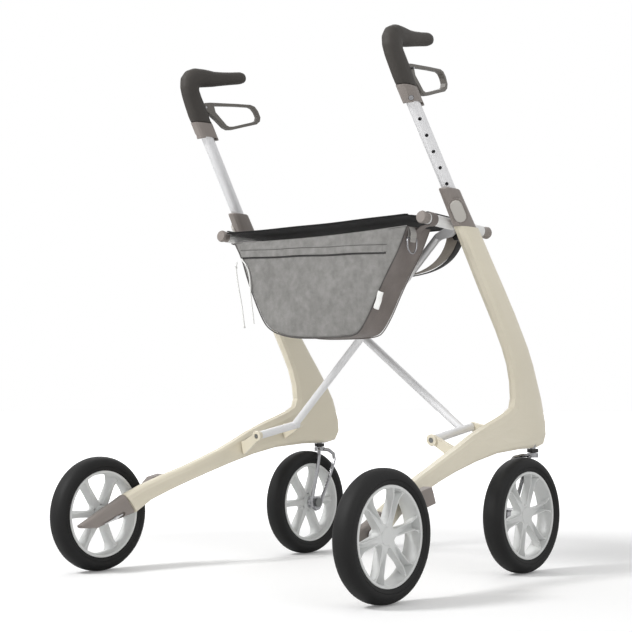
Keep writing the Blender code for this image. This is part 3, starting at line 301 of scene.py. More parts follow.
def studio_world():
    """Soft light from all sides, plain white where it is looked at or mirrored."""
    world = bpy.data.worlds.new("studio")
    world.use_nodes = True
    bpy.context.scene.world = world
    nodes, links = world.node_tree.nodes, world.node_tree.links
    light = nodes["Background"]
    light.inputs["Color"].default_value = (1, 1, 1, 1)
    light.inputs["Strength"].default_value = 0.46
    white = nodes.new("ShaderNodeBackground")
    white.inputs["Color"].default_value = (1, 1, 1, 1)
    white.inputs["Strength"].default_value = 1.0
    seen = nodes.new("ShaderNodeLightPath")
    either = nodes.new("ShaderNodeMath")
    either.operation = "MAXIMUM"
    both = nodes.new("ShaderNodeMath")
    both.operation = "MAXIMUM"
    mixed = nodes.new("ShaderNodeMixShader")
    links.new(seen.outputs["Is Camera Ray"], either.inputs[0])
    links.new(seen.outputs["Is Glossy Ray"], either.inputs[1])
    links.new(either.outputs[0], both.inputs[0])
    links.new(seen.outputs["Is Transmission Ray"], both.inputs[1])
    links.new(both.outputs[0], mixed.inputs["Fac"])
    links.new(light.outputs[0], mixed.inputs[1])
    links.new(white.outputs[0], mixed.inputs[2])
    links.new(mixed.outputs[0], nodes["World Output"].inputs["Surface"])


def studio():
    """Floor, surroundings, and lamps above, beside and behind: name, place, aim, size, power."""
    studio_floor()
    studio_world()
    for name, place, aim, size, power in (
            ("lamp_key", (-2.3, 0.9, 2.3), (0, 0, 0.4), 0.7, 66),
            ("lamp_fill", (-0.6, -3.0, 1.6), (0, 0, 0.4), 2.2, 22),
            ("lamp_back", (1.9, 1.6, 2.4), (0, 0, 0.5), 1.6, 14)):
        bpy.ops.object.light_add(type="AREA", location=place)
        lamp = bpy.context.object
        lamp.name = name
        lamp.data.size = size
        lamp.data.energy = power
        lamp.rotation_euler = (Vector(aim) - Vector(place)).to_track_quat("-Z", "Y").to_euler()
    bpy.context.scene.view_settings.view_transform = "Standard"


def camera():
    """The viewpoint of the photograph."""
    bpy.ops.object.camera_add(location=(-1.9016, -1.6865, 0.2983),
                              rotation=(radians(93.323), 0, radians(-48.135)))
    eye = bpy.context.object
    eye.name = "photo_camera"
    eye.data.lens = 83.06
    eye.data.sensor_width = 36
    bpy.context.scene.camera = eye


def select_only(piece):
    bpy.ops.object.select_all(action="DESELECT")
    piece.select_set(True)
    bpy.context.view_layer.objects.active = piece


def newest(name, finish):
    """Name the piece that an operator has just made, and give it its finish."""
    piece = bpy.context.object
    piece.name = name
    piece.data.name = name
    piece.data.materials.append(finish)
    return piece


def another(piece, name):
    """A copy of the piece with a mesh of its own."""
    made = piece.copy()
    made.data = piece.data.copy()
    made.name = name
    bpy.context.collection.objects.link(made)
    return made


def apply_modifier(piece, kind, **settings):
    select_only(piece)
    made = piece.modifiers.new(kind.lower(), kind)
    for key, value in settings.items():
        setattr(made, key, value)
    bpy.ops.object.modifier_apply(modifier=made.name)


def settle_place(piece):
    """Leave the piece at the origin, with its place in its mesh."""
    select_only(piece)
    bpy.ops.object.transform_apply(location=True, rotation=True, scale=True)


# The angles between faces, in degrees, above which an edge stays sharp.
SOFT_EDGE = 60
MOULDED_EDGE = 32


def smooth(piece, degrees):
    select_only(piece)
    bpy.ops.object.shade_smooth_by_angle(angle=radians(degrees))


def clean_shell(piece, distance=0.00002):
    """Merge doubles and turn every face outwards."""
    select_only(piece)
    bpy.ops.object.mode_set(mode="EDIT")
    bpy.ops.mesh.select_all(action="SELECT")
    bpy.ops.mesh.remove_doubles(threshold=distance)
    bpy.ops.mesh.normals_make_consistent(inside=False)
    bpy.ops.object.mode_set(mode="OBJECT")


def laid_cloth(name, across, along, place, finish):
    """A grid of cloth laid where place(u, v) says, with its UV map in metres."""
    bpy.ops.object.select_all(action="DESELECT")
    bpy.ops.mesh.primitive_grid_add(x_subdivisions=across, y_subdivisions=along, size=1)
    piece = newest(name, finish)
    for vertex in piece.data.vertices:
        vertex.co = place(vertex.co.x + 0.5, vertex.co.y + 0.5)
    width = (place(0.0, 0.5) - place(0.5, 0.5)).length + (place(0.5, 0.5) - place(1.0, 0.5)).length
    length = (place(0.5, 0.0) - place(0.5, 0.5)).length + (place(0.5, 0.5) - place(0.5, 1.0)).length
    for corner in piece.data.uv_layers.active.data:
        corner.uv = (corner.uv[0] * width, corner.uv[1] * length)
    return piece


def hem_and_round(piece, thickness, offset=0.0):
    """Give a laid cloth its thickness and soften it."""
    apply_modifier(piece, "SOLIDIFY", thickness=thickness, offset=offset, use_even_offset=True)
    apply_modifier(piece, "SUBSURF", levels=1, render_levels=1)
    smooth(piece, SOFT_EDGE)
    return piece


def length_of(points):
    return sum((b - a).length for a, b in zip(points, points[1:]))


def along_path(points, fraction):
    """The point at a fraction of the length of a chain of points."""
    lengths = [(b - a).length for a, b in zip(points, points[1:])]
    rest = fraction * sum(lengths)
    for (a, b), length in zip(zip(points, points[1:]), lengths):
        if rest <= length:
            return a.lerp(b, rest / length if length else 0)
        rest -= length
    return points[-1].copy()


def run_of_path(points, fraction):
    """The way the chain of points runs at a fraction of its length."""
    return along_path(points, min(1, fraction + 0.01)) - along_path(points, max(0, fraction - 0.01))


def rounded_path(points, steps):
    """A Catmull-Rom curve through the points."""
    points = [Vector(p) for p in points]
    made = []
    for i in range(len(points) - 1):
        a, b, c, d = (points[max(0, min(len(points) - 1, i + k))] for k in (-1, 0, 1, 2))
        for k in range(steps):
            t = k / steps
            made.append(0.5 * ((2 * b) + (c - a) * t + (2 * a - 5 * b + 4 * c - d) * t ** 2
                               + (3 * b - a - 3 * c + d) * t ** 3))
    return made + [points[-1]]


def tube_curve(name, points, radius, finish, rounds):
    """A round strand along the points, as one open spline."""
    data = bpy.data.curves.new(name, "CURVE")
    data.dimensions = "3D"
    data.bevel_depth = radius
    data.bevel_resolution = rounds
    data.use_fill_caps = True
    spline = data.splines.new("POLY")
    spline.points.add(len(points) - 1)
    for held, point in zip(spline.points, points):
        held.co = (*point, 1)
    piece = bpy.data.objects.new(name, data)
    bpy.context.collection.objects.link(piece)
    data.materials.append(finish)
    return piece


def strand(name, points, radius, finish, rounds=3):
    """The same strand turned into a smooth mesh."""
    piece = tube_curve(name, points, radius, finish, rounds)
    select_only(piece)
    bpy.ops.object.convert(target="MESH")
    piece = bpy.context.object
    smooth(piece, SOFT_EDGE)
    return piece


THREAD = 0.00032


def stitches(name, points, finish, pitch=0.0042, length=0.0030):
    """A row of thread stitches along the points: one stitch, copied on."""
    bpy.ops.object.select_all(action="DESELECT")
    bpy.ops.mesh.primitive_uv_sphere_add(segments=6, ring_count=4, radius=1)
    piece = newest(name, finish)
    one = piece.data.copy()
    count = max(2, int(length_of(points) / pitch))
    grown = bmesh.new()
    for i in range(count):
        middle = (i + 0.5) / count
        here = along_path(points, middle)
        turn = run_of_path(points, middle).to_track_quat("Z", "Y").to_matrix().to_4x4()
        shape = Matrix.Diagonal((THREAD, THREAD, length / 2, 1))
        placed = one.copy()
        placed.transform(Matrix.Translation(here) @ turn @ shape)
        grown.from_mesh(placed)
        bpy.data.meshes.remove(placed)
    grown.to_mesh(piece.data)
    grown.free()
    bpy.data.meshes.remove(one)
    smooth(piece, SOFT_EDGE)
    return piece


def spun(name, profile, steps, finish):
    """A closed profile of (radius, height) turned about Z with the spin tool."""
    bpy.ops.object.select_all(action="DESELECT")
    bpy.ops.mesh.primitive_circle_add(vertices=len(profile), radius=0.01)
    piece = newest(name, finish)
    for vertex, (radius, height) in zip(piece.data.vertices, profile):
        vertex.co = (radius, 0, height)
    bpy.ops.object.mode_set(mode="EDIT")
    bpy.ops.mesh.select_all(action="SELECT")
    bpy.ops.mesh.spin(steps=steps, angle=2 * pi, center=(0, 0, 0), axis=(0, 0, 1))
    bpy.ops.object.mode_set(mode="OBJECT")
    clean_shell(piece)
    smooth(piece, MOULDED_EDGE)
    return piece


def join_into(piece, *others):
    select_only(piece)
    for other in others:
        other.select_set(True)
    bpy.ops.object.join()


RAIL_Y, RAIL_RADIUS = 0.2262, 0.0098
BAG_REAR, BAG_FRONT = -0.024, 0.038
BAG_LEFT, BAG_WIDTH = 0.1960, 0.4010

# The seam round the rear panel, from its left end under the bag to its right end: (y, z).
BAG_SEAM = ((0.1960, 0.5862), (0.1775, 0.5560), (0.1620, 0.5180), (0.1400, 0.4720),
            (0.1190, 0.4380), (0.1000, 0.4235), (0.0760, 0.4150), (0.0400, 0.4090),
            (-0.0100, 0.4066), (-0.0600, 0.4064), (-0.0880, 0.4085), (-0.1030, 0.4160),
            (-0.1225, 0.4420), (-0.1440, 0.4800), (-0.1640, 0.5130), (-0.1850, 0.5450),
            (-0.2050, 0.5850))
bag_edge = rounded_path([Vector((0, y, z)) for y, z in BAG_SEAM], 5)


def rail_height(x):
    """The height of the axis of the seat rails."""
    return 0.599 - 0.0594 * x


def bag_face(t, h):
    """The rear panel: t from left to right, h from its top edge down to the seam."""
    seam = along_path(bag_edge, t)
    top = Vector((0, BAG_LEFT - BAG_WIDTH * t, 0.5860 - 0.0042 * sin(pi * t)))
    point = top.lerp(seam, h)
    middle = sin(pi * t) ** 0.6
    puff = 0.0042 * sin(pi * min(1, h ** 0.85)) ** 0.8 * middle
    ripple = (0.0007 * sin(31 * point.y + 3.1 * h) * sin(pi * h)
              + 0.0005 * sin(44 * point.z + 19 * point.y))
    point.x = BAG_REAR + 0.0004 - puff - ripple * sin(pi * h) * middle
    point.z -= 0.0012 * h * middle * (0.5 + 0.5 * sin(17 * point.y))
    return point


def face_at(y, z):
    """The rear panel's point nearest to a height on it."""
    low, high = 0.0, 1.0
    t = (BAG_LEFT - y) / BAG_WIDTH
    for _ in range(18):
        h = (low + high) / 2
        point = bag_face(t, h)
        t = min(1, max(0, t + (point.y - y) * 1.6))
        if point.z > z:
            low = h
        else:
            high = h
    return Vector((bag_face(t, h).x, y, z))


def bag_place(t, v):
    """The whole shell: rear panel, gusset round it, front panel."""
    if v <= 0.4:
        return bag_face(t, v / 0.4)
    if v < 0.6:
        across = (v - 0.4) / 0.2
        seam = along_path(bag_edge, t)
        ahead = run_of_path(bag_edge, t)
        inward = Vector((0, ahead.z, -ahead.y)).normalized()
        if inward.dot(Vector((0, 0, 0.5)) - seam) < 0:
            inward.negate()
        draw = 0.0026 * sin(pi * across) + 0.0008 * sin(40 * t + 9 * across) * sin(pi * across)
        start = bag_face(t, 1.0)
        point = start + inward * draw
        point.x = start.x + (BAG_FRONT - start.x) * across
        return point
    back = bag_face(t, (1 - v) / 0.4)
    back.x = BAG_FRONT + (BAG_REAR - back.x) * 0.8
    return back


def bag():
    """The bag's cloth shell, open above."""
    shell = laid_cloth("bag_shell", 64, 60, bag_place, bag_front_cloth)
    shell.data.materials.append(bag_cloth_painted_shade)
    # Gusset faces and the far panel take the darker copy of the bag's cloth: painted shade.
    for face in shell.data.polygons:
        gusset = face.center.x > BAG_REAR + 0.0012 and abs(face.normal.x) < 0.8
        if gusset or face.center.x > 0.02:
            face.material_index = 1
    clean_shell(shell)
    return hem_and_round(shell, 0.0016, -1.0)


def flap_low(y):
    """The height of the zip under the flap, which falls toward the right."""
    return 0.5527 + 0.036 * (y - 0.03) + 0.0004 * sin(50 * y)


FLAP_LEFT, FLAP_RIGHT = 0.1770, -0.1800
ZIP_START, ZIP_END = 0.1765, -0.1610
FLAP_FADE = ZIP_END + 0.004


def flap_place(u, v):
    """The flap over the zip, which sinks into the panel past the zip's end."""
    y = FLAP_LEFT + (FLAP_RIGHT - FLAP_LEFT) * u
    top = bag_face((BAG_LEFT - y) / BAG_WIDTH, 0.0)
    low = flap_low(y)
    z = top.z - 0.0006 + (low - top.z) * v
    point = face_at(y, z)
    proud = min(1, max(-0.8, 1 - (FLAP_FADE - y) / 0.006)) if y < FLAP_FADE else 1
    point.x -= (0.0016 + 0.0010 * v + 0.0004 * sin(60 * y) * v) * proud
    return point


def flap_point(y, offset):
    """A point on the flap, offset above its lower edge."""
    top = bag_face((BAG_LEFT - y) / BAG_WIDTH, 0.0)
    u = (y - FLAP_LEFT) / (FLAP_RIGHT - FLAP_LEFT)
    point = flap_place(u, 1 - offset / (top.z - flap_low(y)))
    point.x -= 0.0006
    return point


def flap_line(offset, proud):
    """A line along the flap, offset above its lower edge and proud of its cloth."""
    start, end = 0.176, -0.1640
    points = [flap_point(start + (end - start) * i / 40, offset) for i in range(41)]
    return [p + Vector((-proud, 0, 0)) for p in points]


def bag_trims():
    """Flap with its seams, zip, piping, binding of the mouth, and pleat stitches."""
    flap = hem_and_round(laid_cloth("bag_flap", 48, 8, flap_place, bag_front_cloth), 0.0014)
    seam = strand("bag_flap_seam", flap_line(0.0128, 0.0003), 0.0005, dark_thread, 2)
    thread = stitches("bag_flap_stitches", flap_line(0.0150, 0.0001), grey_thread)
    left, right, low, high = -0.1560, -0.1655, 0.002, 0.0145
    box = ((left, low), (left, high), (right, high), (right, low), (left, low))
    corners = [flap_point(y, offset) for y, offset in box]
    tack = stitches("bag_flap_tack", corners, grey_thread, 0.0026, 0.0020)
    teeth = []
    for i in range(61):
        y = ZIP_START + (ZIP_END - ZIP_START) * i / 60
        teeth.append(face_at(y, flap_low(y) - 0.0014) + Vector((-0.0006, 0, 0)))
    zip_tape = strand("bag_zip", teeth, 0.0016, black_moulding, 2)
    edge = [bag_face(i / 90, 1.0) + Vector((-0.0006, 0, 0)) for i in range(91)]
    piping = strand("bag_piping", edge, 0.0012, piping_cloth)
    edge = [Vector((BAG_FRONT + 0.0004, *bag_face(i / 90, 1.0).yz)) for i in range(91)]
    # The front piping wears the darker copy of the bag's cloth: painted shade.
    front_piping = strand("bag_piping_front", edge, 0.0010, bag_cloth_painted_shade)
    mouth = [bag_face(i / 60, 0.0) + Vector((-0.0008, 0, -0.0004)) for i in range(61)]
    binding = strand("bag_binding", mouth, 0.0011, bag_front_cloth)
    pleat = [face_at(-0.0985, 0.4950 - 0.0415 * i / 20) for i in range(21)]
    pleat = [p + Vector((-0.0008, 0, 0)) for p in pleat]
    dots = stitches("bag_pleat_stitches", pleat, grey_thread, 0.0046, 0.0018)
    return [flap, seam, thread, tack, zip_tape, piping, front_piping, binding, dots]


def bag_tag():
    """A bare woven tag that stands a little off the seam."""
    upper, lower = Vector((0, -0.1475, 0.4815)), Vector((0, -0.1370, 0.4525))
    run = lower - upper
    aside = Vector((0, run.z, -run.y)).normalized()

    def place(u, v):
        point = upper + run * v + aside * (0.0128 * u - 0.0012)
        point.x = BAG_REAR - 0.0022 - 0.0030 * sin(pi * (0.15 + 0.7 * u)) - 0.0006 * sin(9 * v)
        return point
    return hem_and_round(laid_cloth("bag_tag", 6, 14, place, tag_cloth), 0.0007)


def hanger(name, side):
    """A band of cloth round a rail, from beside an end of the bag's mouth."""
    rear, width = 0.0035, 0.0160
    middle_height = rail_height(rear + width / 2)
    reach = RAIL_RADIUS + 0.0012
    path = [Vector((0, 0.1955, 0.5720)), Vector((0, 0.2010, 0.5800)), Vector((0, 0.2120, 0.5868))]
    for i in range(13):
        a = radians(-112 + 194 * i / 12)
        path.append(Vector((0, RAIL_Y + reach * cos(a), reach * sin(a) + middle_height)))

    def place(u, v):
        x = rear + width * u
        point = along_path(path, v)
        point.z += (rail_height(x) - middle_height) * v
        return Vector((x, side * point.y, point.z))
    # The hanger wears the darker copy of the bag's cloth: painted shade.
    made = laid_cloth(name, 6, 30, place, bag_cloth_painted_shade)
    clean_shell(made)
    return hem_and_round(made, 0.0016)


RING_EYE = Vector((-0.00975, -0.2042, 0.5660))


def strap_tab():
    """Webbing folded round the straight side of the D-ring and sewn to the bag's corner."""
    path = [Vector((0, -0.1990, 0.5852)), Vector((0, -0.2030, 0.5846)),
            Vector((0, -0.2064, 0.5790)), Vector((0, -0.2078, 0.5720))]
    for i in range(9):
        a = radians(-150 - 235 * i / 8)
        path.append(Vector((0, RING_EYE.y + 0.0030 * cos(a), RING_EYE.z + 0.0030 * sin(a))))
    path = rounded_path(path + [Vector((0, -0.2030, 0.5790)), Vector((0, -0.2020, 0.5830))], 2)

    def place(u, v):
        point = along_path(path, v)
        point.x = -0.0175 + 0.0155 * u
        return point
    tab = hem_and_round(laid_cloth("strap_webbing", 8, 40, place, webbing), 0.0010)
    corners = ((-0.0160, 0.5800), (-0.0160, 0.5715), (-0.0035, 0.5715), (-0.0035, 0.5800))
    seam = stitches("strap_stitches", [Vector((x, -0.2062, z)) for x, z in corners],
                    grey_thread, 0.0024, 0.0018)
    return tab, seam


def d_ring():
    """The bent wire ring of the tab, with its straight side in the webbing."""
    reach = 0.01225
    line = [RING_EYE + Vector((reach * (i / 4 - 1), 0, 0)) for i in range(9)]
    for i in range(1, 24):
        a = pi * i / 24
        drop = 0.0085 * min(1, 4 * sin(a)) + 0.0165 * sin(a)
        line.append(RING_EYE + Vector((reach * cos(a), 0, -drop)))
    ring = strand("d_ring_wire", line + [line[0]], 0.0014, plated)
    clean_shell(ring, 0.0001)
    return ring


CORD_RADIUS = 0.0013


def cord_knot(name, centre, turn_radius):
    """A small knot in the cord: a fat ring, tilted."""
    bpy.ops.object.select_all(action="DESELECT")
    bpy.ops.mesh.primitive_torus_add(major_segments=28, minor_segments=12, location=centre,
                                     major_radius=turn_radius, minor_radius=CORD_RADIUS,
                                     rotation=(radians(58), radians(20), 0))
    knot = newest(name, cord_braid)
    apply_modifier(knot, "SUBSURF", levels=1, render_levels=1)
    settle_place(knot)
    smooth(knot, SOFT_EDGE)
    return knot


def zip_cord():
    """The zip's limp pull cord: a strand from the zip, and a knotted one free beside the bag."""
    route = ((-0.0268, 0.1870, 0.5500), (-0.0292, 0.1868, 0.5400), (-0.0290, 0.1850, 0.5250),
             (-0.0287, 0.1800, 0.5000), (-0.0284, 0.1740, 0.4750), (-0.0284, 0.1690, 0.4500),
             (-0.0284, 0.1660, 0.4300))
    points = rounded_path(route, 3)
    cord = tube_curve("zip_pull_cord", points, CORD_RADIUS, cord_braid, 2)
    ends = [cord_knot("cord_knot_upper", (-0.0292, 0.1868, 0.5405), 0.001612),
            cord_knot("cord_knot_lower", (-0.0284, 0.1661, 0.4312), 0.001488)]
    length = length_of(points)
    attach(cord, "hanging_bag")
    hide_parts("zip_cord")
    for knot in ends:
        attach(knot, "hanging_bag")
    route = ((-0.0270, 0.1745, 0.5555), (-0.0288, 0.1690, 0.5500), (-0.0294, 0.1615, 0.5430),
             (-0.0292, 0.1540, 0.5280), (-0.0288, 0.1512, 0.5060), (-0.0286, 0.1495, 0.4860),
             (-0.0284, 0.1465, 0.4640), (-0.0284, 0.1435, 0.4460), (-0.0284, 0.1420, 0.4360))
    points = rounded_path(route, 3)
    strand_two = tube_curve("zip_pull_cord_front", points, CORD_RADIUS, cord_braid, 2)
    length = length_of(points)
    knot = cord_knot("cord_knot_front", (-0.0294, 0.1608, 0.5422), 0.0016)
    for piece in (strand_two, knot):
        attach(piece, "hanging_bag")


SEAT_REAR, SEAT_FRONT = -0.0300, 0.1220
# The part of the seat's line that lies round a rail, and the angles it covers there.
SEAT_WRAP, WRAP_FROM, WRAP_TO = 0.06, 74, 162
# On the rails the cloth's rear edge lies farther forward than between them.
REAR_ON_RAIL = {1: -0.0137, -1: 0.0018}


def seat_section(v):
    """The seat's line from rail to rail: over the left rail, across, over the right one."""
    v = min(1, max(0, v))
    side = 1 if v <= 0.5 else -1
    half = v if v <= 0.5 else 1 - v
    reach = RAIL_RADIUS + 0.0016
    if half < SEAT_WRAP:
        a = radians(WRAP_FROM + (WRAP_TO - WRAP_FROM) * half / SEAT_WRAP)
        return Vector((0, side * (RAIL_Y + reach * cos(a)), reach * sin(a)))
    edge = radians(WRAP_TO)
    y0, z0 = RAIL_Y + reach * cos(edge), reach * sin(edge)
    t = (half - SEAT_WRAP) / (0.5 - SEAT_WRAP)
    return Vector((0, side * y0 * (1 - t), z0 - 0.0020 * (1 - (1 - t) ** 2)))


def seat_place(u, v):
    """The seat's cloth: u from rear to front, v from left to right."""
    over = seat_section(v)
    side = 1 if v <= 0.5 else -1
    rear = SEAT_REAR
    if abs(over.y) > RAIL_Y - 0.0130:
        rear = REAR_ON_RAIL[side]
    elif abs(over.y) > RAIL_Y - 0.0200:
        ease = (abs(over.y) - RAIL_Y + 0.0200) / 0.0070
        rear += (REAR_ON_RAIL[side] - SEAT_REAR) * ease ** 3
    x = rear + (SEAT_FRONT - rear) * u
    ripple = 0.0004 * sin(60 * x) * sin(pi * v) + 0.0003 * sin(38 * over.y)
    return Vector((x, over.y, rail_height(x) + over.z + ripple))


def seat():
    """The stretched seat cloth with its hems and the welts of its two free edges."""
    cover = laid_cloth("seat_cover", 22, 72, seat_place, seat_weave)
    flat_length = length_of([seat_section(i / 400) for i in range(401)])
    hem_and_round(cover, 0.0018)
    hems = []
    for name, u in (("seat_hem_rear", 0.055), ("seat_hem_front", 0.945)):
        for layer, lift in (("top", 0.0011), ("under", -0.0011)):
            line = [seat_place(u, 0.07 + 0.86 * i / 80) + Vector((0, 0, lift)) for i in range(81)]
            hems.append(stitches(name + "_" + layer, line, black_thread, 0.0050, 0.0036))
    for name, u, start, span in (("seat_welt_rear", 0.0, 0.072, 0.856),
                                 ("seat_welt_front", 1.0, 0.03, 0.94)):
        edge = [seat_place(u, start + span * i / 80) for i in range(81)]
        hems.append(strand(name, edge, 0.0017, seat_weave))
    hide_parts("seat")
    for piece in [cover] + hems:
        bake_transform(piece)


SLING_REAR, SLING_FRONT = 0.1880, 0.2230

# The sling's line from a little inside the left rail to the middle: (y, height across the hinges).
SLING_LINE = ((0.2070, 0.5590), (0.2040, 0.5450), (0.1960, 0.5310), (0.1840, 0.5175),
              (0.1680, 0.5060), (0.1460, 0.4965), (0.1180, 0.4905), (0.0700, 0.4865), (0.0, 0.4850))
# The direction of the brace hinges, and the one across them and up.
HINGE, HINGE_UP = Vector((0.98325, 0, 0.18224)), Vector((-0.18224, 0, 0.98325))
half_sling = [Vector((0, y, z + 0.0012)) for y, z in SLING_LINE]
other_half = [Vector((0, -p.y, p.z)) for p in half_sling[:-1]][::-1]
sling_edge = rounded_path(half_sling + other_half, 5)


def sling_place(low, high, drop=0.0):
    """A strip of the sling, from low to high along the hinges, hung drop deeper."""
    def place(u, v):
        point = along_path(sling_edge, v)
        sag = 0.0016 * sin(pi * u) * sin(pi * v) ** 0.5 + drop * sin(pi * v) ** 0.4
        along = low + (high - low) * u
        return HINGE_UP * (point.z - sag) + HINGE * along + Vector((0, point.y, 0))
    return place


def sling():
    """The trough of cloth under the seat's front half, with its black binding."""
    place = sling_place(SLING_REAR, SLING_FRONT)
    cloth = hem_and_round(laid_cloth("sling_cloth", 8, 64, place, sling_weave), 0.0016)
    band_place = sling_place(0.2200, 0.2400, 0.0030)
    band = hem_and_round(laid_cloth("sling_band", 4, 64, band_place, black_cloth), 0.0012)
    length = length_of(sling_edge)
    line = [place(0.10, i / 100) + Vector((0, 0, -0.0012)) for i in range(101)]
    rows = stitches("sling_stitches", line, grey_thread, 0.0046, 0.0030)
    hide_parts("sling")
    for piece in (cloth, band, rows):
        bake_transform(piece)


SPOKES = 6
SPOKE_BACK = -0.0065


def clamp(value):
    return min(1, max(0, value))


def spoke():
    """One spoke, open in front as a tray and narrow behind: sections from hub to rim."""
    rib, edge = 0.0018, 0.0006

    def section(radius):
        grow = (radius - 0.0190) / 0.0478
        width = 0.0120 + 0.0030 * grow
        width += 0.0200 * max(0, (radius - 0.0560) / 0.0162) ** 2
        width += 0.0080 * max(0, (0.0200 - radius) / 0.0060) ** 2
        front = 0.0094 + 0.0040 * clamp((radius - 0.0140) / 0.0570) ** 1.3
        depth = 0.0130 * clamp((radius - 0.0200) / 0.0420)
        half = width / 2
        keel = half * (1 - 0.6 * clamp(grow * 1.5))
        tray = min(half - rib, 0.0036 + 0.0055 * max(0, grow) ** 1.5)
        wall_at_floor = half + (keel - half) * depth / (front - SPOKE_BACK)
        floor = max(0.0005, min(tray - edge, wall_at_floor - rib))
        right = ((floor, front - depth), (tray, front), (half - edge, front),
                 (half, front - edge), (keel, SPOKE_BACK))
        left = [(-across, height) for across, height in reversed(right[:-1])]
        return (*left, *right, (-keel, SPOKE_BACK))
    radii = (0.0125, 0.0160, 0.0190, 0.0215, 0.0235, 0.0265, 0.0300, 0.0380, 0.0460, 0.0520,
             0.0560, 0.0600, 0.0640, 0.0665, 0.0685, 0.0700, 0.0722)
    first = section(radii[0])
    bpy.ops.object.select_all(action="DESELECT")
    bpy.ops.mesh.primitive_circle_add(vertices=len(first), radius=0.01, fill_type="NGON")
    piece = newest("rim_spoke", rim_grey)
    for vertex, (across, height) in zip(piece.data.vertices, first):
        vertex.co = (radii[0], across, height)
    for radius in radii[1:]:
        bpy.ops.object.mode_set(mode="EDIT")
        bpy.ops.mesh.extrude_region_move(TRANSFORM_OT_translate={"value": (0.001, 0, 0)})
        bpy.ops.object.mode_set(mode="OBJECT")
        moved = sorted((v for v in piece.data.vertices if v.select), key=lambda v: v.index)
        for vertex, (across, height) in zip(moved, section(radius)):
            vertex.co = (radius, across, height)
    clean_shell(piece)
    apply_modifier(piece, "BEVEL", width=0.0005, segments=2, limit_method="ANGLE",
                   angle_limit=radians(40))
    return piece


# Half sections of the rim and its hub, and half of the tyre's: (radius, height).
RIM_SECTION = ((0.0718, 0.0157), (0.0751, 0.0157), (0.0757, 0.0151), (0.0757, -0.0151),
               (0.0751, -0.0157), (0.0718, -0.0157), (0.0712, -0.0151), (0.0690, -0.0080),
               (0.0690, 0.0020), (0.0712, 0.0151))
HUB_SECTION = ((0.0036, 0.0094), (0.0130, 0.0094), (0.0138, 0.0086), (0.0150, 0.0060),
               (0.0150, -0.0072), (0.0138, -0.0085), (0.0138, -0.0137), (0.0130, -0.0145),
               (0.0080, -0.0145), (0.0080, -0.0100), (0.0036, -0.0100))
TYRE_WALL = ((0.0760, 0.0146), (0.0772, 0.0160), (0.0800, 0.0170), (0.0822, 0.0177),
             (0.0828, 0.0172), (0.0836, 0.0180), (0.0870, 0.0186), (0.0905, 0.0181),
             (0.0935, 0.0168), (0.0962, 0.0144), (0.0982, 0.0112), (0.0994, 0.0076),
             (0.0999, 0.0038))
WHEEL_RADIUS = 0.1
# Each wheel's place along and across, and the degrees that its spokes are turned.
WHEELS = (("left_rear", -0.2332, 0.3225, 0), ("left_front", 0.2332, 0.2536, -3),
          ("right_rear", -0.2332, -0.3225, 12), ("right_front", 0.2332, -0.2536, 12))


def disc(name, sides, radius, depth, height, finish):
    """A flat round piece about Z, its middle at the height."""
    bpy.ops.object.select_all(action="DESELECT")
    bpy.ops.mesh.primitive_cylinder_add(vertices=sides, radius=radius, depth=depth,
                                        location=(0, 0, height))
    piece = newest(name, finish)
    settle_place(piece)
    return piece


def rim():
    """The whole rim at the origin, facing up: barrel, lips, hub and six spokes."""
    barrel = spun("rim_barrel", RIM_SECTION, 96, rim_grey)
    hub = spun("rim_hub", HUB_SECTION, 48, rim_grey)
    cap = disc("rim_cap", 48, 0.0136, 0.0022, 0.0090, rim_grey)
    apply_modifier(cap, "BEVEL", width=0.0006, segments=3, limit_method="ANGLE")
    arms = [spoke()]
    for i in range(1, SPOKES):
        arms.append(another(arms[0], "rim_spoke"))
        arms[i].data.transform(Matrix.Rotation(2 * pi * i / SPOKES, 4, "Z"))
    join_into(barrel, hub, cap, *arms)
    smooth(barrel, MOULDED_EDGE)
    return barrel


def tyre():
    """A solid tyre with a rounded tread and a moulding line on each wall."""
    profile = (*TYRE_WALL, (WHEEL_RADIUS, 0.0), *[(r, -h) for r, h in reversed(TYRE_WALL)])
    return spun("tyre", profile, 112, black_rubber)


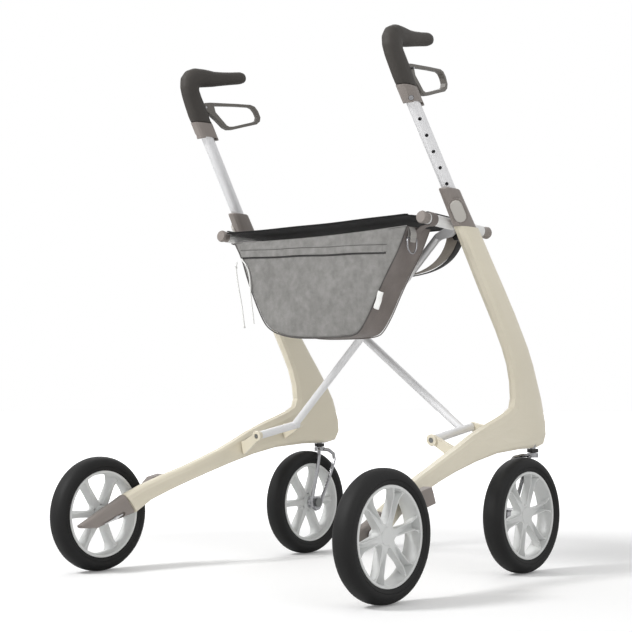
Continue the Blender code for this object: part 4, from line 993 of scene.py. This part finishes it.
def wheels():
    """Rim and tyre, modelled once, as each of the four wheels."""
    blanks = (rim(), "rim", "rim_plastic"), (tyre(), "tyre", "tyre_rubber")
    upright = Matrix.Rotation(-pi / 2, 4, "X")
    for corner, x, y, degrees in WHEELS:
        facing = Matrix.Rotation(0 if y > 0 else pi, 4, "Z")
        turn = Matrix.Rotation(radians(degrees), 4, "Z")
        place = Matrix.Translation((x, y, WHEEL_RADIUS)) @ facing @ upright @ turn
        for blank, kind, slot in blanks:
            piece = another(blank, corner + "_" + kind + "_moulding")
            piece.data.transform(place)
            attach(piece, corner + "_wheel")
            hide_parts(corner + "_" + kind)
    for blank, kind, slot in blanks:
        bpy.data.objects.remove(blank, do_unlink=True)


BOSS_SECTION = ((0.0048, 0.0), (0.0092, 0.0), (0.0100, 0.0008), (0.0100, 0.0034), (0.0048, 0.0034))
BOSS_PLACE, HINGE_HEIGHT, HINGE_Y = 0.0822, 0.2210, 0.2030
HINGE_TILT = radians(10.5)


def hinge_boss(side, y):
    """The round boss at the rear end of a hinge bar, with the bar's bolt sunk in it."""
    boss = spun(side + "_hinge_boss", BOSS_SECTION, 40, cream)
    bolt = disc(side + "_hinge_bolt", 6, 0.0044, 0.0008, 0.0008, bolt_steel)
    rear_end = HINGE * BOSS_PLACE + HINGE_UP * HINGE_HEIGHT + Vector((0, y, 0))
    place = Matrix.Translation(rear_end) @ Matrix.Rotation(pi / 2 - HINGE_TILT, 4, "Y")
    for piece, slot in ((boss, "cream_paint"), (bolt, "silver_metal")):
        piece.data.transform(place)
        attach(piece, side + "_side")


def grip(name):
    """A rounder rubber grip, remade from the drawing's grip and smoothed."""
    piece = another(cad[name], name + "_rubber")
    piece.parent = None
    piece.matrix_world = Matrix()
    clean_shell(piece, 0.00005)
    apply_modifier(piece, "REMESH", mode="VOXEL", voxel_size=0.0016)
    apply_modifier(piece, "SMOOTH", factor=0.5, iterations=14)
    select_only(piece)
    bpy.ops.object.shade_smooth()
    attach(piece, name.replace("grip", "handle"))
    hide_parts(name)


camera()
zip_cord()
grip("left_grip")
grip("right_grip")
shell = bag()
tag = bag_tag()
tab, tab_seam = strap_tab()
ring = d_ring()
left_hanger, right_hanger = hanger("bag_hanger_left", 1), hanger("bag_hanger_right", -1)
for piece in [shell, tag, tab, tab_seam, ring, left_hanger, right_hanger] + bag_trims():
    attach(piece, "hanging_bag")
    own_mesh(piece)
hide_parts("bag")
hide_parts("strap_tab")
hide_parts("d_ring")
seat()
sling()
wheels()
hinge_boss("left", HINGE_Y)
hinge_boss("right", -HINGE_Y)
studio()
